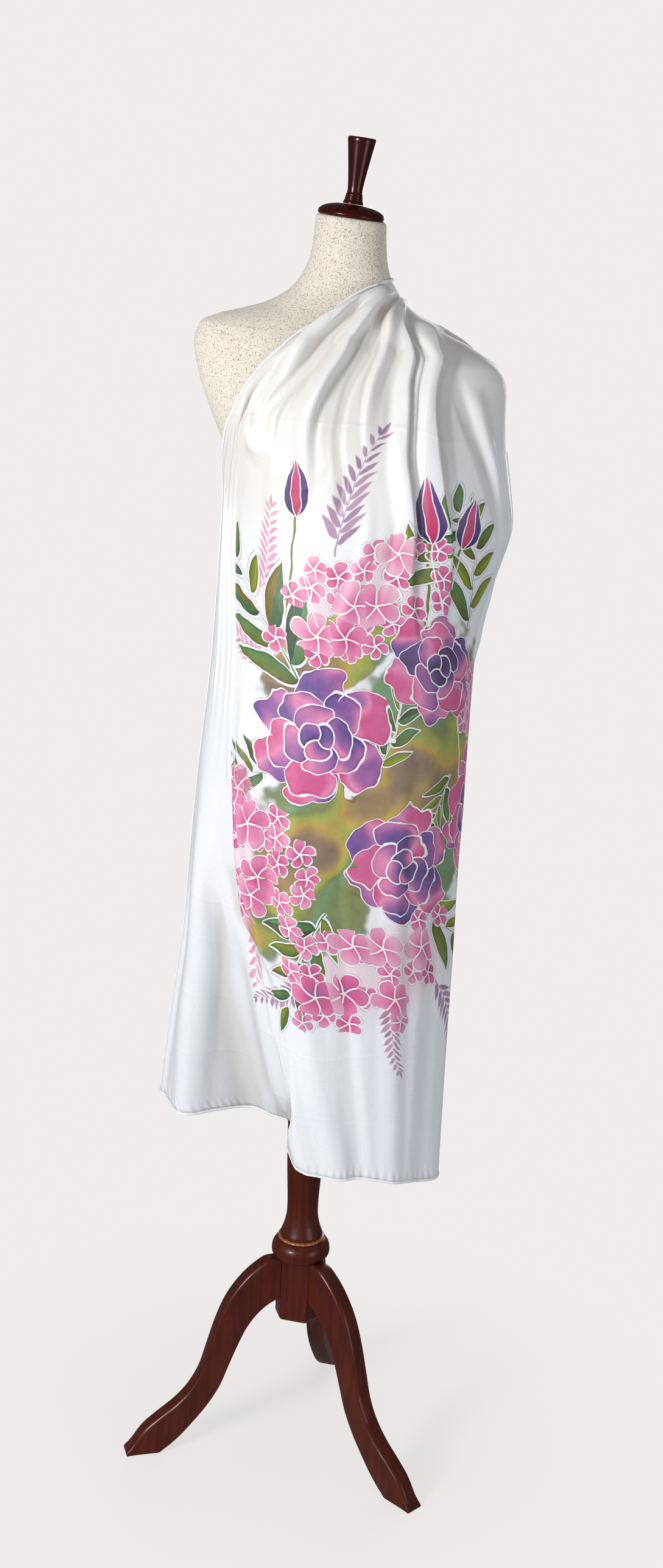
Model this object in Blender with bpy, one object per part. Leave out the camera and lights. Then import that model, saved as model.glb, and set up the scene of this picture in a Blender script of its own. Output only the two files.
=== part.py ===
# A silk scarf worn over one shoulder of a linen dress form on a turned wooden tripod stand.
# Metres, +Z up, the wearer's front towards -Y. The column stands on the line X = 0, Y = 0
# while the pieces are worked out; at the end everything moves so that the origin lies
# under the middle of the whole outline.
import bpy
import numpy as np

CLOTH_THICKNESS = 0.0016
SEAM_GAP = 0.0003
FORM_CLEARANCE, CLEARANCE_EASE = 0.0012, 0.0008
FRONT_COLUMNS, FRONT_ROWS = 48, 40
BACK_COLUMNS, BACK_ROWS = 30, 22

# The torso leans a little to the wearer's left: height lost per metre of X, by height.
LEAN_HEIGHTS = (0.80, 1.15, 1.50, 1.80)
LEAN_SLOPES = (0.0, 0.0, 0.095, 0.095)

# Dress form, one row per ring: height, half width, depth to the front, depth to the back.
TORSO_RINGS = (
    (0.862, 0.142, 0.098, 0.104),
    (0.880, 0.149, 0.105, 0.111),
    (0.950, 0.151, 0.109, 0.116),
    (1.030, 0.142, 0.107, 0.108),
    (1.120, 0.124, 0.098, 0.092),
    (1.200, 0.115, 0.092, 0.083),
    (1.270, 0.121, 0.100, 0.088),
    (1.340, 0.133, 0.117, 0.096),
    (1.386, 0.143, 0.125, 0.102),
    (1.425, 0.160, 0.119, 0.103),
    (1.468, 0.1775, 0.104, 0.101),
    (1.508, 0.1855, 0.088, 0.094),
    (1.532, 0.1785, 0.078, 0.086),
    (1.545, 0.157, 0.072, 0.079),
    (1.556, 0.127, 0.067, 0.073),
    (1.568, 0.098, 0.062, 0.067),
    (1.590, 0.068, 0.054, 0.059),
    (1.614, 0.053, 0.048, 0.050),
    (1.635, 0.0465, 0.0460, 0.0470),
    (1.660, 0.0440, 0.0440, 0.0440),
    (1.680, 0.0430, 0.0430, 0.0430),
)
TORSO_SEGMENTS, TORSO_STEPS = 40, 26

# Drape hull, the loop that the hanging silk follows at each height, one row per height:
# height, left edge X, right edge X, front Y, back Y, Y of the left edge, Y of the right edge.
DRAPE_HULL = (
    (0.430, -0.212, 0.180, -0.140, 0.150, 0.088, -0.030),
    (0.487, -0.207, 0.1795, -0.140, 0.150, 0.080, -0.026),
    (0.638, -0.1916, 0.179, -0.139, 0.148, 0.050, -0.018),
    (0.752, -0.178, 0.180, -0.138, 0.146, 0.030, -0.010),
    (0.865, -0.1716, 0.180, -0.138, 0.145, 0.020, 0.0),
    (0.965, -0.165, 0.183, -0.138, 0.143, 0.015, 0.0),
    (1.110, -0.1526, 0.184, -0.138, 0.132, 0.010, 0.0),
    (1.170, -0.149, 0.186, -0.139, 0.126, 0.006, 0.0),
    (1.215, -0.147, 0.193, -0.140, 0.122, 0.003, 0.0),
    (1.275, -0.1445, 0.210, -0.140, 0.118, 0.0, 0.0),
    (1.330, -0.1435, 0.220, -0.140, 0.117, 0.0, 0.0),
    (1.386, -0.151, 0.213, -0.138, 0.117, 0.0, 0.0),
    (1.425, -0.168, 0.207, -0.131, 0.117, 0.0, 0.0),
    (1.468, -0.185, 0.204, -0.115, 0.113, 0.0, 0.0),
    (1.508, -0.193, 0.204, -0.097, 0.103, 0.0, 0.0),
    (1.528, -0.189, 0.197, -0.088, 0.096, 0.0, 0.0),
    (1.541, -0.172, 0.171, -0.081, 0.089, 0.0, 0.0),
    (1.553, -0.145, 0.140, -0.077, 0.083, 0.0, 0.0),
    (1.568, -0.108, 0.104, -0.071, 0.076, 0.0, 0.0),
    (1.590, -0.078, 0.0745, -0.061, 0.066, 0.0, 0.0),
    (1.614, -0.060, 0.0580, -0.053, 0.055, 0.0, 0.0),
    (1.635, -0.053, 0.0510, -0.051, 0.052, 0.0, 0.0),
)

# Front fall. Shares of the way down from the shoulder at which the fold lines are given.
FRONT_LEVELS = {
    "ridge": 0.0,
    "neck": 0.020,
    "collar": 0.050,
    "yoke": 0.085,
    "chest": 0.130,
    "bust": 0.195,
    "ribs": 0.295,
    "waist": 0.440,
    "hip": 0.610,
    "knee": 0.810,
    "hem": 1.0,
}
# One row per fold line: share of the way across the cloth, then its heading round the hull in
# degrees (-90 left edge, 0 front, 90 right edge) at each level above.
FRONT_HEADINGS = (
    (0.00, 90, 24, -3, -15, -26, -47, -86, -90, -90, -90, -90),
    (0.25, 90, 28, 1, -11, -21, -42, -62, -53, -48, -25, -4),
    (0.34, 90, 33, 7, -5, -14, -31, -44, -40, -35, -15, 5),
    (0.46, 90, 42, 17, 5, 0, -5, -11, -17, -18, -5, 14),
    (0.60, 90, 57, 34, 25, 22, 17, 17, 18, 18, 24, 32),
    (0.72, 90, 62, 40, 33, 31, 30, 36, 47, 48, 48, 50),
    (0.86, 90, 78, 70, 66, 64, 65, 72, 80, 80, 80, 78),
    (1.00, 90, 90, 89, 88, 88, 90, 97, 104, 106, 106, 105),
)
# One row per fold line: share across, then its height before the lean at each level.
FRONT_HEIGHTS = (
    (0.00, 1.620, 1.603, 1.580, 1.552, 1.515, 1.448, 1.335, 1.160, 0.955, 0.715, 0.489),
    (0.25, 1.617, 1.600, 1.575, 1.547, 1.508, 1.437, 1.318, 1.142, 0.938, 0.700, 0.482),
    (0.46, 1.610, 1.592, 1.565, 1.532, 1.488, 1.410, 1.292, 1.120, 0.918, 0.688, 0.474),
    (0.60, 1.600, 1.583, 1.556, 1.520, 1.472, 1.395, 1.283, 1.112, 0.911, 0.683, 0.467),
    (0.72, 1.570, 1.558, 1.535, 1.502, 1.455, 1.382, 1.274, 1.105, 0.905, 0.676, 0.455),
    (0.86, 1.534, 1.522, 1.502, 1.475, 1.435, 1.366, 1.262, 1.096, 0.897, 0.668, 0.442),
    (1.00, 1.440, 1.430, 1.412, 1.390, 1.358, 1.302, 1.214, 1.068, 0.882, 0.662, 0.446),
)
# The deep fold beside the left edge, where the silk hangs well behind the front panel.
FOLD_SHARES = (
    (0.0, 0.0), (0.12, 0.60), (0.19, 1.0), (0.235, 0.79), (0.258, 0.36), (0.29, 0.07), (0.34, 0.0),
)
FOLD_DEPTHS = (
    (0.0, 0.0), (0.15, 0.004), (0.295, 0.010), (0.50, 0.013), (0.65, 0.022), (0.80, 0.080),
    (0.90, 0.130), (1.0, 0.176),
)

# Pleats and creases of the front fall, one row each: place across at the top and bottom of
# its run, half width across at both, height (troughs below zero), share of the way down where
# it starts and ends, and how much steeper its right side is.
FRONT_FOLDS = (
    # top,  bottom, width, width2, height, start, end, steeper right
    (0.275, 0.285, 0.035, 0.035, 0.0040, 0.02, 0.26, 0.0),
    (0.335, 0.330, 0.030, 0.040, -0.0060, 0.05, 0.21, 0.0),
    (0.400, 0.390, 0.045, 0.050, 0.0080, 0.00, 0.30, 0.1),
    (0.460, 0.460, 0.026, 0.030, -0.0075, 0.03, 0.28, 0.0),
    (0.530, 0.520, 0.045, 0.050, 0.0110, -0.20, 0.34, 0.0),
    (0.600, 0.630, 0.050, 0.060, 0.0135, -0.20, 0.46, 0.5),
    (0.648, 0.675, 0.030, 0.040, -0.0060, -0.20, 0.34, 0.0),
    (0.720, 0.740, 0.050, 0.060, 0.0140, -0.20, 0.52, 0.5),
    (0.775, 0.780, 0.030, 0.045, -0.0060, -0.20, 0.24, 0.0),
    (0.750, 0.900, 0.050, 0.060, -0.0130, 0.07, 0.32, 0.0),
    (0.820, 0.940, 0.060, 0.060, 0.0060, 0.10, 0.36, 0.0),
    (0.930, 0.860, 0.060, 0.060, -0.0100, 0.27, 0.45, 0.0),
    (0.420, 0.400, 0.060, 0.070, 0.0050, 0.35, 1.10, 0.0),
    (0.560, 0.540, 0.060, 0.080, -0.0050, 0.40, 1.10, 0.0),
    (0.680, 0.700, 0.050, 0.070, 0.0070, 0.42, 1.20, 0.2),
    (0.860, 0.840, 0.070, 0.070, -0.0060, 0.45, 1.20, 0.0),
)

# Back fall, given the same way.
BACK_LEVELS = {
    "ridge": 0.0,
    "nape": 0.055,
    "yoke": 0.120,
    "blade": 0.210,
    "back": 0.360,
    "waist": 0.560,
    "seat": 0.780,
    "hem": 1.0,
}
BACK_HEADINGS = (
    (0.00, 90, 132, 172, 193, 210, 223.5, 232, 238),
    (0.30, 90, 130, 159, 175.5, 189, 199.5, 205, 208.5),
    (0.60, 90, 119, 139, 151, 160.5, 166.5, 170, 171.5),
    (0.86, 90, 101, 111, 118, 124, 129, 130, 131),
    (1.00, 90, 93, 98, 102, 107, 110, 111, 111),
)
BACK_HEIGHTS = (
    (0.00, 1.620, 1.608, 1.585, 1.548, 1.480, 1.390, 1.295, 1.200),
    (0.30, 1.615, 1.598, 1.568, 1.522, 1.440, 1.330, 1.215, 1.100),
    (0.60, 1.600, 1.579, 1.545, 1.493, 1.400, 1.272, 1.135, 1.000),
    (0.86, 1.534, 1.510, 1.473, 1.416, 1.312, 1.165, 1.005, 0.845),
    (1.00, 1.440, 1.412, 1.372, 1.308, 1.195, 1.030, 0.845, 0.650),
)
BACK_FOLDS = (
    (0.530, 0.500, 0.045, 0.080, 0.0110, -0.30, 0.90, 0.0),
    (0.600, 0.640, 0.050, 0.080, 0.0130, -0.30, 1.10, -0.4),
    (0.648, 0.700, 0.030, 0.060, -0.0060, -0.30, 0.60, 0.0),
    (0.720, 0.800, 0.050, 0.070, 0.0140, -0.30, 1.20, -0.4),
    (0.775, 0.870, 0.030, 0.060, -0.0060, -0.30, 0.50, 0.0),
    (0.300, 0.330, 0.070, 0.090, 0.0080, 0.20, 1.30, 0.0),
    (0.420, 0.420, 0.060, 0.080, -0.0050, 0.15, 1.20, 0.0),
    (0.100, 0.120, 0.090, 0.100, 0.0090, 0.35, 1.30, 0.0),
    (0.940, 0.930, 0.050, 0.060, 0.0070, 0.30, 1.30, 0.0),
)
# Deepest trough allowed where the silk lies on the form, and further down where it hangs.
TROUGH_LIMITS = ((0.0, 0.0022), (0.20, 0.0035), (0.32, 0.0080), (0.45, 0.0120), (1.0, 0.0140))

# Stand. Turned pieces are given as radius and height, one row per ring of the profile.
NECK_TOP = 1.680
CAP_PROFILE = (
    (0.0, 0.0003), (0.0385, 0.0003), (0.0405, 0.0014), (0.0412, 0.0036), (0.0405, 0.0062),
    (0.0375, 0.0093), (0.0320, 0.0122), (0.0240, 0.0144), (0.0150, 0.0156), (0.0, 0.0158),
)
FINIAL_PROFILE = (
    (0.0, 0.0161), (0.0122, 0.0161), (0.0126, 0.0176), (0.0118, 0.0196), (0.0111, 0.0208),
    (0.0113, 0.0220), (0.0107, 0.0232), (0.0109, 0.0246), (0.0102, 0.0258), (0.0104, 0.0272),
    (0.0095, 0.0292), (0.0093, 0.0330), (0.0099, 0.0400), (0.0117, 0.0540), (0.0141, 0.0700),
    (0.0164, 0.0850), (0.0173, 0.0905), (0.0172, 0.0925), (0.0160, 0.0938), (0.0, 0.0945),
)
COLUMN_PROFILE = (
    (0.0, 0.3178), (0.0278, 0.3178), (0.0292, 0.3192), (0.0290, 0.3212), (0.0262, 0.3290),
    (0.0232, 0.3400), (0.0214, 0.3530), (0.0213, 0.3660), (0.0224, 0.3900), (0.0236, 0.4130),
    (0.0252, 0.4600), (0.0262, 0.5300), (0.0258, 0.6100), (0.0238, 0.7000), (0.0216, 0.7700),
    (0.0212, 0.8050), (0.0240, 0.8250), (0.0330, 0.8400), (0.0560, 0.8480), (0.0640, 0.8510),
    (0.0650, 0.8540), (0.0650, 0.8617), (0.0, 0.8617),
)
BEAD_PROFILE = (
    (0.0, 0.3133), (0.0300, 0.3133), (0.0318, 0.3142), (0.0325, 0.3155), (0.0318, 0.3168),
    (0.0300, 0.3175), (0.0, 0.3175),
)
COLLAR_PROFILE = (
    (0.0, 0.2873), (0.0340, 0.2873), (0.0378, 0.2890), (0.0396, 0.2920), (0.0402, 0.2960),
    (0.0398, 0.3010), (0.0384, 0.3058), (0.0360, 0.3095), (0.0335, 0.3120), (0.0315, 0.3130),
    (0.0, 0.3130),
)
TURNED_SEGMENTS = 32

# Hub, a prism whose wide flats lie between the legs.
HUB_TOP, HUB_BOTTOM, HUB_CHAMFER = 0.2870, 0.1910, 0.0080
HUB_FLAT_HALF_WIDTH, HUB_FLAT_DISTANCE = 0.0195, 0.0255
LEG_HEADINGS = {"leg_left": -74.4, "leg_right": 45.6, "leg_back": 165.6}
LEG_THICKNESS, LEG_ROUNDING, LEG_STATIONS = 0.0250, 0.0055, 26
# Leg board seen from its side, one row per station: distance out and height of the upper
# edge, then of the lower edge.
LEG_EDGES = (
    (0.0300, 0.2868, 0.0300, 0.2260),
    (0.0460, 0.2855, 0.0420, 0.2200),
    (0.0660, 0.2735, 0.0570, 0.2080),
    (0.0860, 0.2535, 0.0740, 0.1860),
    (0.1040, 0.2260, 0.0870, 0.1580),
    (0.1170, 0.1930, 0.0990, 0.1270),
    (0.1270, 0.1590, 0.1110, 0.0960),
    (0.1375, 0.1230, 0.1280, 0.0680),
    (0.1520, 0.0960, 0.1480, 0.0430),
    (0.1720, 0.0740, 0.1680, 0.0210),
    (0.1950, 0.0560, 0.1860, 0.0060),
    (0.2150, 0.0390, 0.1960, 0.0),
    (0.2270, 0.0230, 0.2120, 0.0),
    (0.2345, 0.0110, 0.2290, 0.0),
)


def curve(knots, values, places):
    """Smooth curve through the values at the knots, never passing beyond them."""
    knots = np.asarray(knots, float)
    values = np.asarray(values, float)
    places = np.asarray(places, float)
    more = (1,) * (values.ndim - 1)
    rise = np.diff(values, axis=0) / np.diff(knots).reshape(-1, *more)
    slope = np.empty_like(values)
    slope[0], slope[-1] = rise[0], rise[-1]
    turning = rise[:-1] * rise[1:] <= 0
    total = np.where(turning, 1.0, rise[:-1] + rise[1:])
    slope[1:-1] = np.where(turning, 0.0, 2 * rise[:-1] * rise[1:] / total)
    piece = np.clip(np.searchsorted(knots, places, side="right") - 1, 0, len(knots) - 2)
    span = (knots[piece + 1] - knots[piece]).reshape(places.shape + more)
    t = (places - knots[piece]).reshape(places.shape + more) / span
    return (
        (2 * t**3 - 3 * t**2 + 1) * values[piece]
        + (t**3 - 2 * t**2 + t) * span * slope[piece]
        + (3 * t**2 - 2 * t**3) * values[piece + 1]
        + (t**3 - t**2) * span * slope[piece + 1]
    )


def column_of(table, number):
    return [row[number] for row in table]


def leaned(points):
    """The points after the torso's lean, which lowers +X and lifts -X."""
    slope = curve(LEAN_HEIGHTS, LEAN_SLOPES, points[..., 2])
    moved = points.copy()
    moved[..., 2] -= points[..., 0] * slope
    return moved


def form_size(points):
    """Size of the dress form's ring through each point, as a share of the ring at that height."""
    heights = column_of(TORSO_RINGS, 0)
    height = np.clip(points[..., 2], heights[0], heights[-1])
    width, front, back = (curve(heights, column_of(TORSO_RINGS, i), height) for i in (1, 2, 3))
    depth = np.where(points[..., 1] < 0, front, back)
    return np.hypot(points[..., 0] / width, points[..., 1] / depth)


def clear_of_form(points):
    """The points with those too near the dress form, or inside it, eased out to its surface."""
    step = 0.0005
    for _ in range(3):
        size = form_size(points)
        slope = [
            (form_size(points + way) - form_size(points - way)) / (2 * step)
            for way in np.eye(3) * step
        ]
        slope = np.stack(slope, axis=-1)
        steepness = np.maximum(np.linalg.norm(slope, axis=-1), 1e-6)
        gap = (size - 1) / steepness
        over = np.clip((gap - FORM_CLEARANCE) / CLEARANCE_EASE, -30, 30)
        wanted = FORM_CLEARANCE + CLEARANCE_EASE * np.log1p(np.exp(over))
        beside = points[..., 2] > TORSO_RINGS[0][0] - 0.02
        push = np.where(beside & (over < 8), wanted - gap, 0.0)
        points = points + slope / steepness[..., None] * push[..., None]
    return points


def from_lines(table, levels, across, down):
    """Values of the fold lines' table over a grid of places across and down the cloth."""
    rows = np.array([row[1:] for row in table], float)
    by_level = curve(list(levels.values()), rows.T, down)
    return curve(column_of(table, 0), by_level.T, across)


def on_hull(heading, height):
    """Points of the drape hull at these headings and heights."""
    heights = column_of(DRAPE_HULL, 0)
    left, right, front, back, left_y, right_y = (
        curve(heights, column_of(DRAPE_HULL, i), height) for i in range(1, 7)
    )
    turn = np.radians(heading)
    side_y = np.where(np.sin(turn) < 0, left_y, right_y)
    depth = np.where(np.cos(turn) > 0, side_y - front, back - side_y)
    x = (left + right) / 2 + (right - left) / 2 * np.sin(turn)
    return np.stack([x, side_y - depth * np.cos(turn), height], axis=-1)


def fold_heights(folds, across, down):
    """Summed height of the pleats over the grid, each a rounded ridge or trough."""
    total = np.zeros(across.shape)
    for top, bottom, width, width_end, height, start, end, steeper in folds:
        run = (down - start) / (end - start)
        along = np.clip(run, 0, 1)
        centre = top + (bottom - top) * along
        half = width + (width_end - width) * along
        offset = across - centre
        t = offset / (half * np.where(offset > 0, 1 - steeper, 1 + steeper))
        bump = np.where(np.abs(t) < 1, 0.5 + 0.5 * np.cos(np.pi * t), 0.0)
        window = np.where((run > 0) & (run < 1), np.sin(np.pi * along) ** 0.8, 0.0)
        total += height * bump * window
    limit = curve(column_of(TROUGH_LIMITS, 0), column_of(TROUGH_LIMITS, 1), down)
    return limit * np.where(total < 0, np.tanh(total / limit), total / limit)


def normals_of(points):
    """Outward unit normals of a grid of points, rows across and columns down."""
    across = np.gradient(points, axis=0)
    down = np.gradient(points, axis=1)
    normal = np.cross(down, across)
    return normal / np.linalg.norm(normal, axis=-1, keepdims=True)


def front_sheet(across, down):
    """Middle surface of the front fall, with its deep left fold and its pleats."""
    c, v = np.meshgrid(across, down, indexing="ij")
    heading = from_lines(FRONT_HEADINGS, FRONT_LEVELS, across, down)
    height = from_lines(FRONT_HEIGHTS, FRONT_LEVELS, across, down)
    points = on_hull(heading, height)
    share = curve(column_of(FOLD_SHARES, 0), column_of(FOLD_SHARES, 1), np.minimum(c, 0.34))
    depth = curve(column_of(FOLD_DEPTHS, 0), column_of(FOLD_DEPTHS, 1), v)
    points[..., 1] += share * depth
    normal = normals_of(points)
    points += normal * fold_heights(FRONT_FOLDS, c, v)[..., None]
    return leaned(clear_of_form(points))


def back_sheet(across, down):
    """Middle surface of the back fall, with the pleats running on from the shoulder."""
    c, v = np.meshgrid(across, down, indexing="ij")
    heading = from_lines(BACK_HEADINGS, BACK_LEVELS, across, down)
    height = from_lines(BACK_HEIGHTS, BACK_LEVELS, across, down)
    points = on_hull(heading, height)
    normal = -normals_of(points)
    points += normal * fold_heights(BACK_FOLDS, c, v)[..., None]
    return leaned(clear_of_form(points))


def add_mesh(name, points, faces, material):
    mesh = bpy.data.meshes.new(name)
    mesh.from_pydata(np.asarray(points, float).tolist(), [], faces)
    mesh.update()
    mesh.polygons.foreach_set("use_smooth", [True] * len(mesh.polygons))
    mesh.set_sharp_from_angle(angle=np.radians(40))
    mesh.materials.append(material)
    thing = bpy.data.objects.new(name, mesh)
    bpy.context.scene.collection.objects.link(thing)
    return thing


def grid_faces(rows, columns, first=0):
    faces = []
    for i in range(rows - 1):
        for j in range(columns - 1):
            a = first + i * columns + j
            faces.append((a, a + 1, a + columns + 1, a + columns))
    return faces


def wall_of(name, middle, normal, material):
    """Closed cloth wall of even thickness round a grid of middle points."""
    rows, columns = middle.shape[:2]
    count = rows * columns
    outer = (middle + normal * CLOTH_THICKNESS / 2).reshape(-1, 3)
    inner = (middle - normal * CLOTH_THICKNESS / 2).reshape(-1, 3)
    outside = grid_faces(rows, columns)
    inside = [face[::-1] for face in grid_faces(rows, columns, count)]
    rim = [i * columns for i in range(rows)]
    rim += [(rows - 1) * columns + j for j in range(1, columns)]
    rim += [i * columns + columns - 1 for i in range(rows - 2, -1, -1)]
    rim += list(range(columns - 2, 0, -1))
    edge = []
    for a, b in zip(rim, rim[1:] + rim[:1]):
        edge.append((a, b, b + count, a + count))
    return add_mesh(name, np.vstack([outer, inner]), outside + inside + edge, material)


def turned(name, profile, material, segments=TURNED_SEGMENTS):
    """Solid turned round the Z axis from a profile that starts and ends on the axis."""
    rings = profile[1:-1]
    turn = 2 * np.pi * np.arange(segments) / segments
    points = [(r * np.cos(a), r * np.sin(a), z) for r, z in rings for a in turn]
    points += [(0, 0, profile[0][1]), (0, 0, profile[-1][1])]
    bottom, top = len(points) - 2, len(points) - 1
    faces = []
    for i in range(len(rings) - 1):
        for j in range(segments):
            a, b = i * segments + j, i * segments + (j + 1) % segments
            faces.append((a, b, b + segments, a + segments))
    last = (len(rings) - 1) * segments
    for j in range(segments):
        k = (j + 1) % segments
        faces.append((bottom, k, j))
        faces.append((top, last + j, last + k))
    return add_mesh(name, points, faces, material)


def loft(name, rings, material):
    """Closed solid through rings of equal point counts, with flat ends."""
    steps, segments = rings.shape[:2]
    faces = []
    for i in range(steps - 1):
        for j in range(segments):
            a, b = i * segments + j, i * segments + (j + 1) % segments
            faces.append((a, b, b + segments, a + segments))
    faces.append(tuple(range(segments))[::-1])
    faces.append(tuple((steps - 1) * segments + j for j in range(segments)))
    return add_mesh(name, rings.reshape(-1, 3), faces, material)


def torso(material):
    """Dress form from the hip to the top of the neck, leaned with the scarf."""
    heights = column_of(TORSO_RINGS, 0)
    marks = np.linspace(0, len(heights) - 1, TORSO_STEPS)
    height = curve(range(len(heights)), heights, marks)
    width, front, back = (curve(heights, column_of(TORSO_RINGS, i), height) for i in (1, 2, 3))
    turn = 2 * np.pi * np.arange(TORSO_SEGMENTS) / TORSO_SEGMENTS
    x = width[:, None] * np.sin(turn)
    y = -np.where(np.cos(turn) > 0, front[:, None], back[:, None]) * np.cos(turn)
    z = np.broadcast_to(height[:, None], x.shape)
    return loft("torso", leaned(np.stack([x, y, z], axis=-1)), material)


def hub(material):
    """Prism with a wide flat between each pair of legs, its lower edge bevelled."""
    outline = []
    for heading in LEG_HEADINGS.values():
        middle = np.radians(heading - 60)
        out = np.array([np.sin(middle), -np.cos(middle)])
        side = np.array([np.cos(middle), np.sin(middle)])
        for way in (-1, 1):
            outline.append(out * HUB_FLAT_DISTANCE + side * HUB_FLAT_HALF_WIDTH * way)
    outline = np.array(outline)
    levels = (
        (HUB_BOTTOM, 0.72),
        (HUB_BOTTOM + 0.3 * HUB_CHAMFER, 0.88),
        (HUB_BOTTOM + HUB_CHAMFER, 1.0),
        (HUB_TOP, 1.0),
    )
    rings = [np.column_stack([outline * size, np.full(len(outline), z)]) for z, size in levels]
    return loft("hub", np.array(rings), material)


def leg(name, heading, material):
    """Curved board with rounded edges that leaves the hub and ends in a flat-soled foot."""
    marks = np.linspace(0, len(LEG_EDGES) - 1, LEG_STATIONS)
    edge = curve(range(len(LEG_EDGES)), LEG_EDGES, marks)
    upper, lower = edge[:, 0:2], edge[:, 2:4]
    depth = np.linalg.norm(upper - lower, axis=1)
    half = LEG_THICKNESS / 2
    rounding = np.minimum(LEG_ROUNDING, depth * 0.3)
    rings = []
    for start, end, size, r in zip(lower, upper, depth, rounding):
        towards = (end - start) / size
        small = r * 0.3
        outline = (
            (-half + small, 0), (half - small, 0), (half, small), (half, size - r),
            (half - 0.3 * r, size - 0.3 * r), (half - r, size), (-half + r, size),
            (-half + 0.3 * r, size - 0.3 * r), (-half, size - r), (-half, small),
        )
        rings.append([(side, *(start + towards * up)) for side, up in outline])
    rings = np.array(rings)
    turn = np.radians(heading)
    out = np.array([np.sin(turn), -np.cos(turn)])
    side = np.array([np.cos(turn), np.sin(turn)])
    flat = rings[..., 1:2] * out + rings[..., 0:1] * side
    points = np.concatenate([flat, rings[..., 2:3]], axis=-1)
    return loft(name, points, material)


def material(name, colour, roughness):
    made = bpy.data.materials.new(name)
    made.use_nodes = True
    shader = made.node_tree.nodes["Principled BSDF"]
    shader.inputs["Base Color"].default_value = (*colour, 1)
    shader.inputs["Roughness"].default_value = roughness
    return made


def spread(count, marks, weights):
    """Places from 0 to 1, closer together where the weight is higher."""
    fine = np.linspace(0, 1, 2001)
    density = np.interp(fine, marks, weights)
    total = np.concatenate([[0], np.cumsum((density[1:] + density[:-1]) / 2)])
    return np.interp(np.linspace(0, total[-1], count), total, fine)


def main():
    for thing in list(bpy.data.objects):
        bpy.data.objects.remove(thing)

    silk = material("silk", (0.86, 0.85, 0.86), 0.38)
    linen = material("linen", (0.80, 0.74, 0.62), 0.85)
    torso(linen)

    across = spread(FRONT_COLUMNS, (0, 0.2, 0.25, 0.45, 0.78, 1), (0.8, 1.0, 1.6, 1.5, 1.5, 0.8))
    down = spread(FRONT_ROWS, (0, 0.08, 0.30, 0.45, 1), (4.0, 2.6, 1.6, 0.8, 0.7))
    front = front_sheet(across, down)
    normal = normals_of(front)
    normal[:, 0, 1] = 0
    normal /= np.linalg.norm(normal, axis=-1, keepdims=True)
    front[:, 0, 1] = -SEAM_GAP / 2
    wall_of("scarf_front", front, normal, silk)

    across = spread(BACK_COLUMNS, (0, 0.45, 0.78, 1), (0.8, 1.3, 1.4, 1.0))
    down = spread(BACK_ROWS, (0, 0.15, 0.4, 1), (3.0, 2.0, 1.0, 0.8))
    back = back_sheet(across, down)
    normal = -normals_of(back)
    normal[:, 0, 1] = 0
    normal /= np.linalg.norm(normal, axis=-1, keepdims=True)
    back[:, 0, 1] = SEAM_GAP / 2
    wall_of("scarf_back", back[::-1], normal[::-1], silk)

    cap_wood = material("cap_wood", (0.075, 0.014, 0.010), 0.18)
    stand_wood = material("stand_wood", (0.10, 0.022, 0.013), 0.28)
    bead_wood = material("bead_wood", (0.25, 0.085, 0.035), 0.30)
    lean = np.arctan(LEAN_SLOPES[-1])
    for name, profile in (("neck_cap", CAP_PROFILE), ("finial", FINIAL_PROFILE)):
        piece = turned(name, profile, cap_wood)
        piece.location = (0, 0, NECK_TOP)
        piece.rotation_euler = (0, lean, 0)
    turned("column", COLUMN_PROFILE, stand_wood)
    turned("bead_ring", BEAD_PROFILE, bead_wood)
    turned("collar", COLLAR_PROFILE, stand_wood)
    hub(stand_wood)
    for name, heading in LEG_HEADINGS.items():
        leg(name, heading, stand_wood)

    bpy.context.view_layer.update()
    corners = []
    for thing in bpy.context.scene.objects:
        corners += [thing.matrix_world @ vertex.co for vertex in thing.data.vertices]
    corners = np.array(corners)
    middle = (corners.min(axis=0) + corners.max(axis=0)) / 2
    for thing in bpy.context.scene.objects:
        thing.location.x -= middle[0]
        thing.location.y -= middle[1]
    print("moved by", [round(float(value), 5) for value in -middle[:2]])


main()
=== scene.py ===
import math

import bpy
import numpy as np
from mathutils import Matrix, Vector


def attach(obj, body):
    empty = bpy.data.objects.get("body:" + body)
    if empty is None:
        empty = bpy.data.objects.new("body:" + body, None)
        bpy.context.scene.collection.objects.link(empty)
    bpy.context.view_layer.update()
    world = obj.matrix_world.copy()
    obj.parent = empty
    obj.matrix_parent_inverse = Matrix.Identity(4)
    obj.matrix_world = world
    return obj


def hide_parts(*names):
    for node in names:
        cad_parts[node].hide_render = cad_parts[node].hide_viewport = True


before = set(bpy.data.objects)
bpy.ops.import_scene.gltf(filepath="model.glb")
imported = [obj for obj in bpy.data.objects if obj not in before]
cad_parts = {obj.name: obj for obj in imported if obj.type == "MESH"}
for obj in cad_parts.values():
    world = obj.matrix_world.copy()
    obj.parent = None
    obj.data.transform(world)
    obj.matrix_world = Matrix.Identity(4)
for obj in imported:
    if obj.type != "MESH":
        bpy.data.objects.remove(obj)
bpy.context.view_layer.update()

# The tables below are worked out round the stand's column; this moves them to the row frame.
rowShift = np.array([0.00389, -0.02881, 0.0])


# Shapes worked out as arrays

def thousandths(*rows):
    # a table written in millimetres, and in thousandths where its numbers are shares
    return np.array(rows, float) / 1000


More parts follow.
